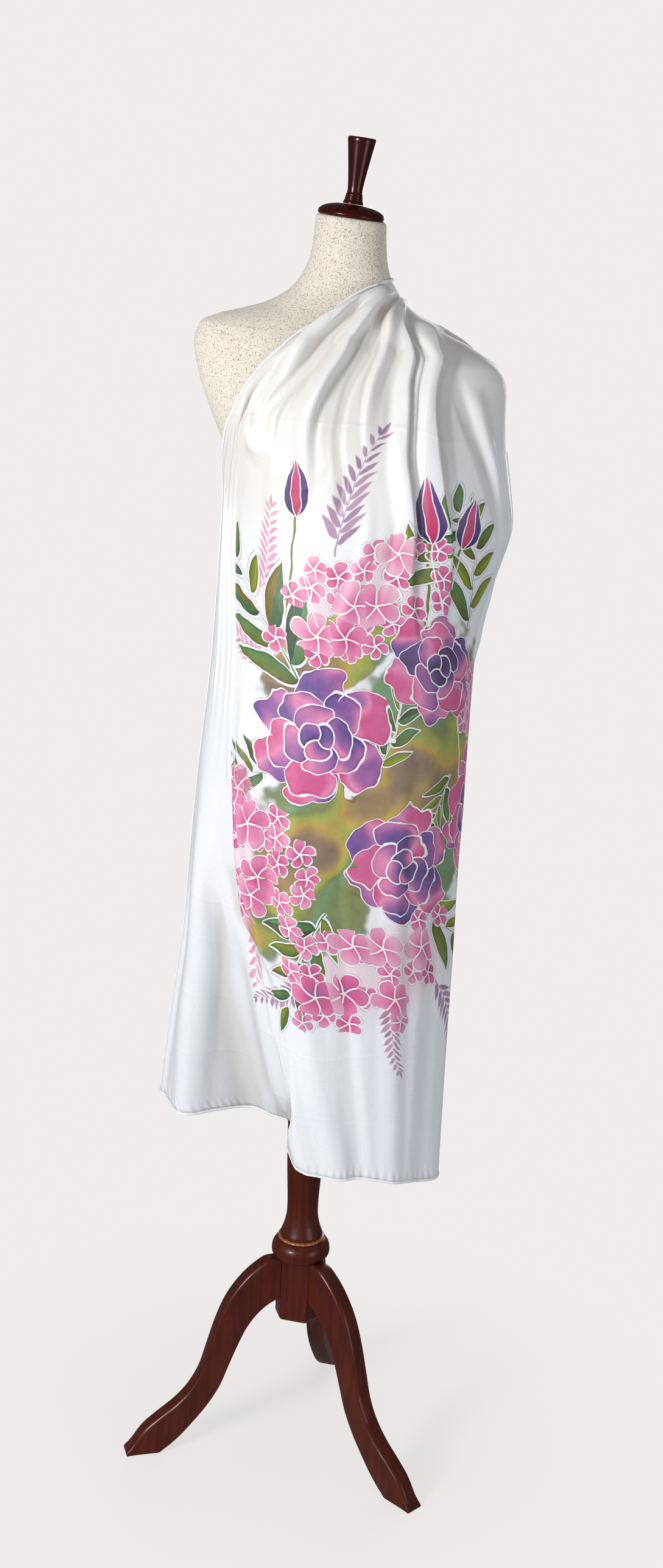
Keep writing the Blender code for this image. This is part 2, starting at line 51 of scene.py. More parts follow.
def smoothCurve(knots, values, places):
    # cubic through the knots whose slope is the harmonic mean of its neighbours', so it never overshoots
    knots, values, places = (np.asarray(given, float) for given in (knots, values, places))
    more = (1,) * (values.ndim - 1)
    rise = np.diff(values, axis=0) / np.diff(knots).reshape(-1, *more)
    slope = np.empty_like(values)
    slope[0], slope[-1] = rise[0], rise[-1]
    turning = rise[:-1] * rise[1:] <= 0
    total = np.where(turning, 1.0, rise[:-1] + rise[1:])
    slope[1:-1] = np.where(turning, 0.0, 2 * rise[:-1] * rise[1:] / total)
    piece = np.clip(np.searchsorted(knots, places, side="right") - 1, 0, len(knots) - 2)
    span = (knots[piece + 1] - knots[piece]).reshape(places.shape + more)
    t = (places - knots[piece]).reshape(places.shape + more) / span
    return (
        (2 * t**3 - 3 * t**2 + 1) * values[piece] + (t**3 - 2 * t**2 + t) * span * slope[piece]
        + (3 * t**2 - 2 * t**3) * values[piece + 1] + (t**3 - t**2) * span * slope[piece + 1]
    )


def readTable(table, places):
    # the table's further columns, smooth between places in its first column
    return np.moveaxis(smoothCurve(table[:, 0], table[:, 1:], places), -1, 0)


def finer(rows, count):
    # stations at even steps from the first row to the last, on a smooth curve through them
    return smoothCurve(np.arange(len(rows)), rows, np.linspace(0, len(rows) - 1, count))


def smoothStep(low, high, value):
    # 0 below low, 1 above high, and 3t² - 2t³ between them
    t = np.clip((value - low) / (high - low), 0, 1)
    return t * t * (3 - 2 * t)


def spread(count, marks, weights):
    # places from 0 to 1 whose spacing is inversely proportional to the weight there
    fine = np.linspace(0, 1, 4001)
    density = np.interp(fine, marks, weights)
    total = np.concatenate([[0], np.cumsum((density[1:] + density[:-1]) / 2)])
    return np.interp(np.linspace(0, total[-1], count), total, fine)


def circle(count):
    # even angles once round
    return 2 * np.pi * np.arange(count) / count


def gridFaces(rows, columns, closed=False, first=0):
    # four corners of each cell of a grid of points, joined round the columns when closed
    i = np.arange(rows - 1)[:, None]
    j = np.arange(columns if closed else columns - 1)[None, :]
    after = (j + 1) % columns
    cells = (i * columns + j, i * columns + after, (i + 1) * columns + after, (i + 1) * columns + j)
    return np.stack(cells, axis=-1).reshape(-1, 4) + first


def rimOf(columns, rows):
    # numbers of a grid's edge points, in order once round
    grid = np.arange(columns * rows).reshape(columns, rows)
    return np.concatenate([grid[:, 0], grid[-1, 1:], grid[-2::-1, -1], grid[0, -2:0:-1]])


def makePiece(name, points, faces, material, replaced, uv=None, marks=None, caps=(), sharp=None):
    # a mesh object at the origin, from arrays of points and four-cornered faces, and lists of end caps
    mesh = bpy.data.meshes.new(name)
    points = (np.asarray(points, float) + rowShift).reshape(-1, 3)
    loops = np.concatenate([faces.ravel(), *caps]).astype(np.int32)
    sizes = np.concatenate([np.full(len(faces), 4), [len(cap) for cap in caps]]).astype(np.int32)
    starts = np.concatenate([[0], np.cumsum(sizes)[:-1]]).astype(np.int32)
    mesh.vertices.add(len(points))
    mesh.vertices.foreach_set("co", points.astype(np.float32).ravel())
    mesh.loops.add(len(loops))
    mesh.loops.foreach_set("vertex_index", loops)
    mesh.polygons.add(len(sizes))
    mesh.polygons.foreach_set("loop_start", starts)
    mesh.update(calc_edges=True)
    mesh.validate()
    mesh.polygons.foreach_set("use_smooth", np.ones(len(mesh.polygons), bool))
    if sharp is not None:
        mesh.set_sharp_from_angle(angle=math.radians(sharp))
    if uv is not None:
        layer = mesh.uv_layers.new(name="cloth")
        layer.data.foreach_set("uv", uv[loops].astype(np.float32).ravel())
    for label, values in (marks or {}).items():
        attribute = mesh.attributes.new(label, "FLOAT", "POINT")
        attribute.data.foreach_set("value", values.astype(np.float32).ravel())
    mesh.materials.append(material)
    piece = bpy.data.objects.new(name, mesh)
    bpy.context.scene.collection.objects.link(piece)
    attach(piece, "root")
    if replaced:
        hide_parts(*replaced)
    return piece


# Shader nodes

class Signal:
    # what a node gives out; arithmetic with it adds math nodes to its tree
    def __init__(self, socket):
        self.socket, self.tree = socket, socket.id_data

    def __add__(self, other):
        return maths("ADD", self, other)

    def __sub__(self, other):
        return maths("SUBTRACT", self, other)

    def __rsub__(self, other):
        return maths("SUBTRACT", other, self)

    def __mul__(self, other):
        return maths("MULTIPLY", self, other)

    def __rmul__(self, other):
        return maths("MULTIPLY", other, self)

    def __truediv__(self, other):
        return maths("DIVIDE", self, other)

    def __rtruediv__(self, other):
        return maths("DIVIDE", other, self)

    def __pow__(self, other):
        return maths("POWER", self, other)

    def __abs__(self):
        return maths("ABSOLUTE", self)

    def __lt__(self, other):
        return maths("LESS_THAN", self, other)

    def __gt__(self, other):
        return maths("GREATER_THAN", self, other)


def feed(value, socket):
    # a link from a signal, or a fixed value set on the socket itself
    if isinstance(value, Signal):
        value.tree.links.new(value.socket, socket)
    elif value is not None:
        isColour = hasattr(socket.default_value, "__len__") and len(socket.default_value) == 4
        socket.default_value = (*value, 1) if isColour and len(value) == 3 else value


def feedAll(given, sockets):
    for label, value in dict(given).items():
        feed(value, sockets[label])


def addNode(tree, kind, given=(), **settings):
    # a node with its settings, and its inputs by number or name
    node = tree.nodes.new("ShaderNode" + kind)
    for label, value in settings.items():
        setattr(node, label, value)
    feedAll(given, node.inputs)
    return node


def source(tree, kind, label, **settings):
    # one output of a node that has no inputs
    return Signal(addNode(tree, kind, **settings).outputs[label])


def treeOf(values):
    return next(value.tree for value in values if isinstance(value, Signal))


def maths(kind, *values, clamp=False):
    node = addNode(treeOf(values), "Math", enumerate(values), operation=kind, use_clamp=clamp)
    return Signal(node.outputs[0])


def fit(value, factor, start, clamp=False):
    # value × factor + start
    return maths("MULTIPLY_ADD", value, factor, start, clamp=clamp)


def vec(kind, *values, scale=None):
    node = addNode(treeOf(values), "VectorMath", enumerate(values), operation=kind)
    if scale is not None:
        feed(scale, node.inputs["Scale"])
    return Signal(node.outputs["Value" if kind == "LENGTH" else "Vector"])


def step(value, low, high, start=0.0, end=1.0):
    # smooth step from start to end, between low and high
    labels = ("Value", "From Min", "From Max", "To Min", "To Max")
    given = zip(labels, (value, low, high, start, end))
    return Signal(addNode(value.tree, "MapRange", given, interpolation_type="SMOOTHSTEP").outputs["Result"])


def mix(share, first, second, kind="MIX"):
    # colours: the first where share is 0, the second over it where share is 1
    values = {0: share, 6: first, 7: second}
    node = addNode(treeOf(values.values()), "Mix", values, data_type="RGBA", blend_type=kind)
    return Signal(node.outputs[2])


def shaded(share, colour, other):
    # the colour multiplied by the other one, by a share
    return mix(share, colour, mix(1.0, colour, other, "MULTIPLY"))


def noise(vector, scale, detail=2.0, rough=0.5, distortion=0.0, colour=False):
    given = {"Vector": vector, "Scale": scale, "Detail": detail, "Roughness": rough, "Distortion": distortion}
    return Signal(addNode(vector.tree, "TexNoise", given).outputs[int(colour)])


def placed(vector, centre, turn, size):
    # the vector as seen from a centre, turned back by an angle and divided by a size
    given = {"Vector": vector, "Location": centre, "Rotation": (0, 0, math.radians(turn)), "Scale": size}
    return Signal(addNode(vector.tree, "Mapping", given, vector_type="TEXTURE").outputs[0])


def parts(vector):
    return [Signal(socket) for socket in addNode(vector.tree, "SeparateXYZ", {0: vector}).outputs]


def joined(x, y, z=0.0):
    values = (x, y, z)
    return Signal(addNode(treeOf(values), "CombineXYZ", enumerate(values)).outputs[0])


def chance(x, y=0.0):
    # a random number and a random colour for each pair of numbers
    node = addNode(x.tree, "TexWhiteNoise", {"Vector": joined(x, y)}, noise_dimensions="2D")
    return Signal(node.outputs["Value"]), Signal(node.outputs["Color"])


def ramp(share, stops):
    # paints at places from 0 to 1
    node = addNode(share.tree, "ValToRGB", {0: share})
    marks = node.color_ramp.elements
    while len(marks) < len(stops):
        marks.new(0.5)
    for mark, (place, paint) in zip(marks, stops.items()):
        mark.position = place
        mark.color = (*paints[paint], 1)
    return Signal(node.outputs[0])


def bumpOf(height, distance, strength, normal=None):
    given = {"Height": height, "Distance": distance, "Strength": strength, "Normal": normal}
    return Signal(addNode(height.tree, "Bump", given).outputs[0])


def newGroup(name, **inputs):
    # a node group and its named inputs: a number starts at its value, and a vector is given as None
    tree = bpy.data.node_groups.new(name, "ShaderNodeTree")
    for label, start in inputs.items():
        kind = "NodeSocketVector" if start is None else "NodeSocketFloat"
        socket = tree.interface.new_socket(label, in_out="INPUT", socket_type=kind)
        if start is not None:
            socket.default_value = start
    return tree, [Signal(socket) for socket in tree.nodes.new("NodeGroupInput").outputs[:len(inputs)]]


def closeGroup(tree, **results):
    # the group's named outputs: numbers, apart from the one called Colour
    for label in results:
        kind = "NodeSocketColor" if label == "Colour" else "NodeSocketFloat"
        tree.interface.new_socket(label, in_out="OUTPUT", socket_type=kind)
    feedAll(results, tree.nodes.new("NodeGroupOutput").inputs)
    return tree


def useGroup(group, **values):
    node = addNode(values["Vector"].tree, "Group", values, node_tree=group)
    return {socket.name: Signal(socket) for socket in node.outputs}


def newMaterial(name):
    made = bpy.data.materials.new(name)
    made.use_nodes = True
    return made, made.node_tree, made.node_tree.nodes["Principled BSDF"].inputs


def tone(red, green, blue):
    # a colour as a screen shows it, turned into the light values that nodes take
    return tuple(((part / 255 + 0.055) / 1.055) ** 2.4 for part in (red, green, blue))


# Dress form and stand

form = {
    # ring by ring: height, half width, depth to the front, depth to the back
    "rings": thousandths(
        (862, 142, 98, 104), (880, 149, 105, 111), (950, 151, 109, 116), (1030, 142, 107, 108),
        (1120, 124, 98, 92), (1200, 115, 92, 83), (1270, 121, 100, 88), (1340, 133, 117, 96),
        (1386, 143, 125, 102), (1425, 160, 119, 103), (1468, 177.5, 104, 101), (1508, 185.5, 88, 94),
        (1532, 178.5, 78, 86), (1545, 157, 72, 79), (1556, 127, 67, 73), (1568, 98, 62, 67),
        (1590, 68, 54, 59), (1614, 53, 48, 50), (1635, 46.5, 46, 47), (1660, 44, 44, 44), (1680, 43, 43, 43),
    ),
    "steps": 170, "segments": 144, "edgeRounding": 0.0025, "neckTop": 1.680,
    # height, and what is lost of it per metre of X
    "lean": thousandths((800, 0), (1150, 0), (1500, 95), (1800, 95)),
}


def leaned(points, way=1):
    # height lost per metre of X, growing with height; taken back when way is -1
    moved = points.copy()
    moved[..., 2] -= way * points[..., 0] * readTable(form["lean"], points[..., 2])[0]
    return moved


def formSize(points):
    # size of the form's ring through each point, as a share of the ring at that height
    heights = form["rings"][:, 0]
    width, front, back = readTable(form["rings"], np.clip(points[..., 2], heights[0], heights[-1]))
    depth = np.where(points[..., 1] < 0, front, back)
    return np.hypot(points[..., 0] / width, points[..., 1] / depth)


def formGap(points):
    # distance to the form along the steepest way out of it, and that way
    reach = 0.0005
    size = formSize(points)
    slope = [(formSize(points + way) - formSize(points - way)) / (2 * reach) for way in np.eye(3) * reach]
    slope = np.stack(slope, axis=-1)
    steepness = np.maximum(np.linalg.norm(slope, axis=-1), 1e-6)
    return (size - 1) / steepness, slope / steepness[..., None]


def clearOfForm(points, clearance, ease):
    # points too near the form, or inside it, are eased out along its steepest way
    for _ in range(3):
        gap, way = formGap(points)
        over = np.clip((gap - clearance) / ease, -30, 30)
        wanted = clearance + ease * np.log1p(np.exp(over))
        beside = points[..., 2] > form["rings"][0][0] - 0.02
        push = np.where(beside & (over < 8), wanted - gap, 0.0)
        points = points + way * push[..., None]
    return points


def closedLoft(name, rings, material, node, sharp):
    # a skin through rings of equal point counts, each end closed by one flat cap
    steps, segments = rings.shape[:2]
    caps = (np.arange(segments)[::-1], (steps - 1) * segments + np.arange(segments))
    faces = gridFaces(steps, segments, closed=True)
    return makePiece(name, rings, faces, material, [node], caps=caps, sharp=sharp)


def turnedRings(profile, tilt=0.0, base=0.0):
    # rings round the Z axis through a smoothed profile of radius and height, tilted about Y at the base
    radius, height = finer(profile, (len(profile) - 1) * stand["perRow"] + 1).T[..., None]
    turn = circle(stand["segments"])
    x, y = radius * np.cos(turn), radius * np.sin(turn)
    z = np.broadcast_to(height, x.shape)
    x, z = x * math.cos(tilt) + z * math.sin(tilt), z * math.cos(tilt) - x * math.sin(tilt)
    return np.stack([x, y, z + base], axis=-1)


stand = {
    "segments": 96, "perRow": 5,
    # turned pieces, from the bottom up: radius and height
    "neck_cap": thousandths(
        (30, 0.3), (38.5, 0.3), (40.5, 1.4), (41.2, 3.6), (40.5, 6.2), (37.5, 9.3), (32, 12.2), (24, 14.4),
        (15, 15.6), (2, 15.8),
    ),
    "finial": thousandths(
        (6, 16.1), (12.2, 16.1), (12.6, 17.6), (11.8, 19.6), (11.1, 20.8), (11.3, 22), (10.7, 23.2),
        (10.9, 24.6), (10.2, 25.8), (10.4, 27.2), (9.5, 29.2), (9.3, 33), (9.9, 40), (11.7, 54), (14.1, 70),
        (16.4, 85), (17.3, 90.5), (17.2, 92.5), (16, 93.8), (10, 94.4), (1, 94.5),
    ),
    "column": thousandths(
        (10, 317.8), (27.8, 317.8), (29.2, 319.2), (29, 321.2), (26.2, 329), (23.2, 340), (21.4, 353),
        (21.3, 366), (22.4, 390), (23.6, 413), (25.2, 460), (26.2, 530), (25.8, 610), (23.8, 700),
        (21.6, 770), (21.2, 805), (24, 825), (33, 840), (56, 848), (64, 851), (65, 854), (65, 861.7),
        (40, 861.7),
    ),
    "bead_ring": thousandths(
        (20, 313.3), (30, 313.3), (31.8, 314.2), (32.5, 315.5), (31.8, 316.8), (30, 317.5), (20, 317.5),
    ),
    "collar": thousandths(
        (20, 287.3), (34, 287.3), (37.8, 289), (39.6, 292), (40.2, 296), (39.8, 301), (38.4, 305.8),
        (36, 309.5), (33.5, 312), (31.5, 313), (20, 313),
    ),
    "hubTop": 0.2870, "hubBottom": 0.1910, "hubBevel": 0.0080, "hubBottomSize": 0.72,
    "flatHalfWidth": 0.0195, "flatDistance": 0.0255, "hubCornerRounding": 0.0022,
    "legs": {"leg_left": -74.4, "leg_right": 45.6, "leg_back": 165.6},
    "legThickness": 0.0250, "legTopRounding": 0.0070, "legSoleRounding": 0.0024, "legStations": 110,
    # leg seen from its side: distance out and height of the upper edge, then of the lower edge
    "legEdges": thousandths(
        (30, 286.8, 30, 226), (46, 285.5, 42, 220), (66, 273.5, 57, 208), (86, 253.5, 74, 186),
        (104, 226, 87, 158), (117, 193, 99, 127), (127, 159, 111, 96), (137.5, 123, 128, 68),
        (152, 96, 148, 43), (172, 74, 168, 21), (195, 56, 186, 6), (215, 39, 196, 0), (227, 23, 212, 0),
        (235, 10.5, 228, 0), (239.2, 4.8, 236.8, 0), (240.2, 2, 239.2, 0),
    ),
}


def waysOut(degrees):
    # level ways out from the column and across, for an angle from the front
    turn = math.radians(degrees)
    return np.array([math.sin(turn), -math.cos(turn)]), np.array([math.cos(turn), math.sin(turn)])


def makeForm(material):
    # half ellipses, front and back, at each height, ending in a small rounded edge at both ends
    height = finer(form["rings"][:, 0], form["steps"])
    width, front, back = readTable(form["rings"], height)
    edge = form["edgeRounding"]
    end = np.clip(np.minimum(height[-1] - height, height - height[0]) / edge, 0, 1)
    inset = edge * (1 - np.sqrt(np.clip(1 - (1 - end) ** 2, 0, 1)))
    turn = circle(form["segments"])
    x = (width - inset)[:, None] * np.sin(turn)
    depth = np.where(np.cos(turn) > 0, (front - inset)[:, None], (back - inset)[:, None])
    rings = np.stack([x, -depth * np.cos(turn), np.broadcast_to(height[:, None], x.shape)], axis=-1)
    return closedLoft("dress_form", leaned(rings), material, "torso", 50)


def makeHub(material):
    # a three-sided prism with its corners cut flat, every corner rounded and the lower edge bevelled
    corners = []
    for degrees in stand["legs"].values():
        out, side = waysOut(degrees - 60)
        corners += [out * stand["flatDistance"] + side * stand["flatHalfWidth"] * way for way in (-1, 1)]
    corners = np.array(corners)
    rounded = []
    t = np.linspace(0, 1, 6)[:, None]
    for before, corner, after in zip(np.roll(corners, 1, 0), corners, np.roll(corners, -1, 0)):
        start, end = (
            corner + (other - corner) / np.linalg.norm(other - corner) * stand["hubCornerRounding"]
            for other in (before, after)
        )
        rounded.append((1 - t) ** 2 * start + 2 * t * (1 - t) * corner + t**2 * end)
    outline = np.vstack(rounded)
    bottom, top, bevel, least = (stand[key] for key in ("hubBottom", "hubTop", "hubBevel", "hubBottomSize"))
    angles = np.linspace(0, np.pi / 2, 10)
    levels = [(bottom + bevel * (1 - math.cos(a)), least + (1 - least) * math.sin(a)) for a in angles]
    levels.append((top, 1.0))
    rings = np.array([np.column_stack([outline * size, np.full(len(outline), z)]) for z, size in levels])
    return closedLoft("stand_hub", rings, material, "hub", 40)


def makeLeg(node, degrees, material):
    # a board cut to two smooth edges, with quarter-round corners, ending in a flat sole
    edge = finer(stand["legEdges"], stand["legStations"])
    lower, upper = edge[:, 2:4], edge[:, 0:2]
    size = np.linalg.norm(upper - lower, axis=1)
    towards = (upper - lower) / size[:, None]
    half = stand["legThickness"] / 2
    big = np.minimum(stand["legTopRounding"], size * 0.32)
    small = np.minimum(stand["legSoleRounding"], size * 0.2)
    quarter = np.linspace(0, np.pi / 2, 6)
    side, up = [], []
    for way, low in ((1, True), (1, False), (-1, False), (-1, True)):
        r = small if low else big
        for angle in quarter if (way > 0) == low else quarter[::-1]:
            side.append(way * (half - r + r * math.sin(angle)))
            up.append(r - r * math.cos(angle) if low else size - r + r * math.cos(angle))
    side, up = np.array(side).T, np.array(up).T
    along = lower[:, None, :] + towards[:, None, :] * up[..., None]
    out, across = waysOut(degrees)
    flat = along[..., 0:1] * out + side[..., None] * across
    rings = np.concatenate([flat, np.maximum(along[..., 1:2], 0.0)], axis=-1)
    return closedLoft("stand_" + node, rings, material, node, 45)


# The scarf's shape

scarf = {
    "flatWidth": 0.65, "flatLength": 1.80, "thickness": 0.0007, "clearance": 0.0010, "ease": 0.0008,
    "columns": 244,
    "spacing": ((0, 0.02, 0.2, 0.25, 0.45, 0.78, 0.98, 1), (1.6, 1.0, 1.1, 1.4, 1.2, 1.1, 1.0, 1.6)),
    # the loop that the hanging silk follows: height, left X, right X, front Y, back Y,
    # Y of the left edge, Y of the right edge
    "hull": thousandths(
        (430, -212, 180, -140, 150, 88, -30), (487, -207, 179.5, -140, 150, 80, -26),
        (638, -191.6, 179, -139, 148, 50, -18), (752, -178, 180, -138, 146, 30, -10),
        (865, -171.6, 180, -138, 145, 20, 0), (965, -165, 183, -138, 143, 15, 0),
        (1110, -152.6, 184, -138, 132, 10, 0), (1170, -149, 186, -139, 126, 6, 0),
        (1215, -147, 193, -140, 122, 3, 0), (1275, -144.5, 210, -140, 118, 0, 0),
        (1330, -143.5, 220, -140, 117, 0, 0), (1386, -151, 213, -138, 117, 0, 0),
        (1425, -168, 207, -131, 117, 0, 0), (1468, -185, 204, -115, 113, 0, 0),
        (1508, -193, 204, -97, 103, 0, 0), (1528, -189, 197, -88, 96, 0, 0),
        (1541, -172, 171, -81, 89, 0, 0), (1553, -145, 140, -77, 83, 0, 0), (1568, -108, 104, -71, 76, 0, 0),
        (1590, -78, 74.5, -61, 66, 0, 0), (1614, -60, 58, -53, 55, 0, 0), (1635, -53, 51, -51, 52, 0, 0),
    ),
    # the deep fold beside the left edge: its share across, and its depth down the fall
    "foldShares": thousandths(
        (0, 0), (120, 600), (190, 1000), (235, 790), (258, 360), (290, 70), (340, 0),
    ),
    "foldDepths": thousandths(
        (0, 0), (150, 4), (295, 10), (500, 13), (650, 22), (800, 80), (900, 130), (1000, 176),
    ),
    # share of the way down, and the deepest trough that the silk has room for over the form
    "troughLimits": thousandths(
        (0, 2.2), (200, 4), (320, 9), (450, 13), (1000, 16),
    ),
    "ridgeEasing": 0.045, "ridgeRounds": 60,
    "creaseStations": 40, "creaseReach": (0.16, 0.06),  # how far across and down a crease is looked for
    "edgeSmoothing": 23, "hollowReach": (9, 5),  # rows and columns averaged over
    "overShoulder": 0.45,  # the share of their height that creases keep right on the shoulder
    # heights between which the form's warm colour begins to show through, and how near it has to be
    "warmFrom": (1.18, 1.40), "warmReach": 0.030,
    "printEdge": 0.252,  # share across of the crease that bounds the paint
}

# Each fall from the shoulder: its fold lines have a share across, then a heading round the loop in
# degrees, or a height, at each level down. The silk is joined and its creases are flattened within
# a share of the way down. A crease has a path as places across and down, width to the left and right
# of it and height (troughs below zero), then the shares of its path over which it fades in and out.
front = {
    "rows": 140, "spacing": ((0, 0.08, 0.30, 0.45, 0.98, 1), (1.7, 1.6, 1.3, 1.0, 0.95, 1.6)),
    "joined": 0.06, "flattened": 0.05,
    "levels": (0.0, 0.020, 0.050, 0.085, 0.130, 0.195, 0.295, 0.440, 0.610, 0.810, 1.0),
    "headings": np.array((
        (0, 90, 24, -3, -15, -26, -47, -86, -90, -90, -90, -90),
        (0.25, 90, 28, 1, -11, -21, -42, -62, -53, -48, -25, -4),
        (0.34, 90, 33, 7, -5, -14, -31, -44, -40, -35, -15, 5),
        (0.46, 90, 42, 17, 5, 0, -5, -11, -17, -18, -5, 14),
        (0.6, 90, 57, 34, 25, 22, 17, 17, 18, 18, 24, 32),
        (0.72, 90, 62, 40, 33, 31, 30, 36, 47, 48, 48, 50),
        (0.86, 90, 78, 70, 66, 64, 65, 72, 80, 80, 80, 78),
        (1, 90, 90, 89, 88, 88, 90, 97, 104, 106, 106, 105),
    )),
    "heights": thousandths(
        (0, 1620, 1603, 1580, 1552, 1515, 1448, 1335, 1160, 955, 715, 489),
        (250, 1617, 1600, 1575, 1547, 1508, 1437, 1318, 1142, 938, 700, 482),
        (460, 1610, 1592, 1565, 1532, 1488, 1410, 1292, 1120, 918, 688, 474),
        (600, 1600, 1583, 1556, 1520, 1472, 1395, 1283, 1112, 911, 683, 467),
        (720, 1570, 1558, 1535, 1502, 1455, 1382, 1274, 1105, 905, 676, 455),
        (860, 1534, 1522, 1502, 1475, 1435, 1366, 1262, 1096, 897, 668, 442),
        (1000, 1440, 1430, 1412, 1390, 1358, 1302, 1214, 1068, 882, 662, 446),
    ),
    "creases": (
        # the gathered peak beside the neck and the folds that run out of it
        ((475, 0, 495, 48, 480, 90, 460, 140, 448, 190, 452, 225, 446, 262), 10, 6, -12, 100, 200),
        ((300, 10, 320, 52, 335, 90, 330, 135, 322, 165, 300, 186, 262, 197), 12, 6, -14, 150, 120),
        ((225, 6, 245, 50, 262, 90, 276, 125, 286, 150), 24, 12, 16.5, 200, 350),
        ((390, 0, 418, 50, 416, 95, 404, 140, 398, 190, 402, 270), 26, 9, 20, 100, 450),
        ((505, 20, 520, 60, 508, 95, 502, 140, 506, 210), 6, 17, 12.5, 150, 450),
        ((245, 150, 270, 178, 300, 192, 330, 186), 12, 12, -8, 300, 250),
        ((238, 182, 262, 212, 295, 222, 334, 210), 10, 14, 6.5, 300, 350),
        ((352, 60, 360, 100, 352, 145, 345, 185, 348, 240), 6, 9, -4, 250, 350),
        # two pleats over the shoulder with crisp right edges
        ((560, -50, 580, 22, 585, 55, 575, 98, 595, 165, 597, 230, 612, 290, 650, 350, 690, 420), 28, 4.4,
         11, 50, 400),
        ((610, -50, 621, 22, 625, 60, 618, 100, 634, 165, 636, 250, 650, 330), 4, 8, -4, 120, 400),
        ((700, -50, 712, 10, 706, 40, 696, 70, 702, 100, 716, 150, 720, 220, 728, 310, 740, 420), 44, 4.4,
         15, 50, 420),
        ((742, -50, 744, 22, 728, 60, 731, 110, 742, 170, 744, 280), 6, 20, -7.5, 120, 400),
        # drag lines from the shoulder towards the right selvage
        ((742, 60, 765, 85, 790, 115, 815, 152, 832, 203, 850, 260), 10, 16, -10, 200, 200),
        ((780, 60, 815, 100, 850, 150, 880, 215), 18, 22, 6.5, 300, 350),
        ((860, 120, 890, 160, 915, 210, 930, 260), 12, 16, -5.5, 350, 350),
        ((905, 235, 930, 290, 915, 350, 880, 410), 20, 14, -9, 300, 350),
        ((960, 260, 950, 330, 925, 400), 12, 18, 6, 350, 350),
        # small folds between the main ones
        ((345, 30, 362, 65, 366, 105, 362, 140), 8, 10, -2.2, 350, 450),
        ((430, 80, 425, 125, 418, 175, 415, 230), 8, 10, 1.8, 350, 450),
        ((548, 60, 545, 110, 552, 160, 556, 215), 9, 8, -2, 350, 450),
        ((670, 20, 668, 70, 672, 120, 682, 190), 8, 10, 2, 300, 450),
        ((330, 200, 345, 250, 350, 310), 14, 14, 2.4, 350, 450),
        ((500, 210, 508, 280, 512, 370, 505, 450), 16, 13, 3, 300, 450),
        ((548, 230, 560, 310, 565, 400), 12, 10, -2.2, 300, 450),
        # the unpainted left edge: narrow layers lying side by side
        ((30, 170, 80, 230, 120, 300, 130, 420, 120, 560), 6, 3.5, 3, 150, 400),
        ((60, 165, 120, 215, 160, 290, 170, 420, 160, 600), 6, 3.5, 3.2, 150, 400),
        ((95, 165, 155, 205, 200, 280, 210, 420, 205, 600), 6, 3.5, 3.4, 150, 400),
        ((135, 165, 195, 205, 238, 270, 246, 420, 243, 560, 240, 660), 7, 3.5, 4.2, 150, 350),
        # long soft folds of the lower front
        ((150, 540, 145, 680, 118, 787, 105, 885, 95, 1050), 34, 36, 17, 400, 0),
        ((262, 480, 262, 580, 262, 657, 262, 705, 285, 745, 318, 780, 322, 825, 314, 873, 290, 925, 250,
         990, 225, 1050), 46, 22, -23, 250, 0),
        ((60, 660, 50, 780, 42, 900, 36, 1050), 18, 14, -5, 400, 0),
        ((300, 430, 296, 580, 290, 740, 284, 900), 12, 16, 6, 300, 250),
        ((360, 470, 350, 620, 335, 780, 320, 930), 20, 24, 6, 300, 250),
        ((420, 520, 410, 680, 395, 800, 370, 950), 18, 22, -5.5, 300, 300),
        ((470, 450, 480, 620, 490, 800, 495, 1050), 26, 28, 5, 350, 0),
        ((560, 480, 555, 640, 560, 820, 565, 1050), 24, 20, -4.2, 350, 0),
        ((640, 440, 650, 620, 665, 820, 672, 1050), 28, 24, 4.4, 300, 0),
        ((760, 420, 765, 600, 770, 800, 775, 1050), 26, 26, -3.8, 300, 0),
        ((850, 480, 855, 640, 860, 820, 862, 1050), 24, 24, 3.4, 350, 0),
        ((930, 450, 935, 640, 940, 820, 942, 1050), 18, 18, -3, 350, 0),
    ),
}
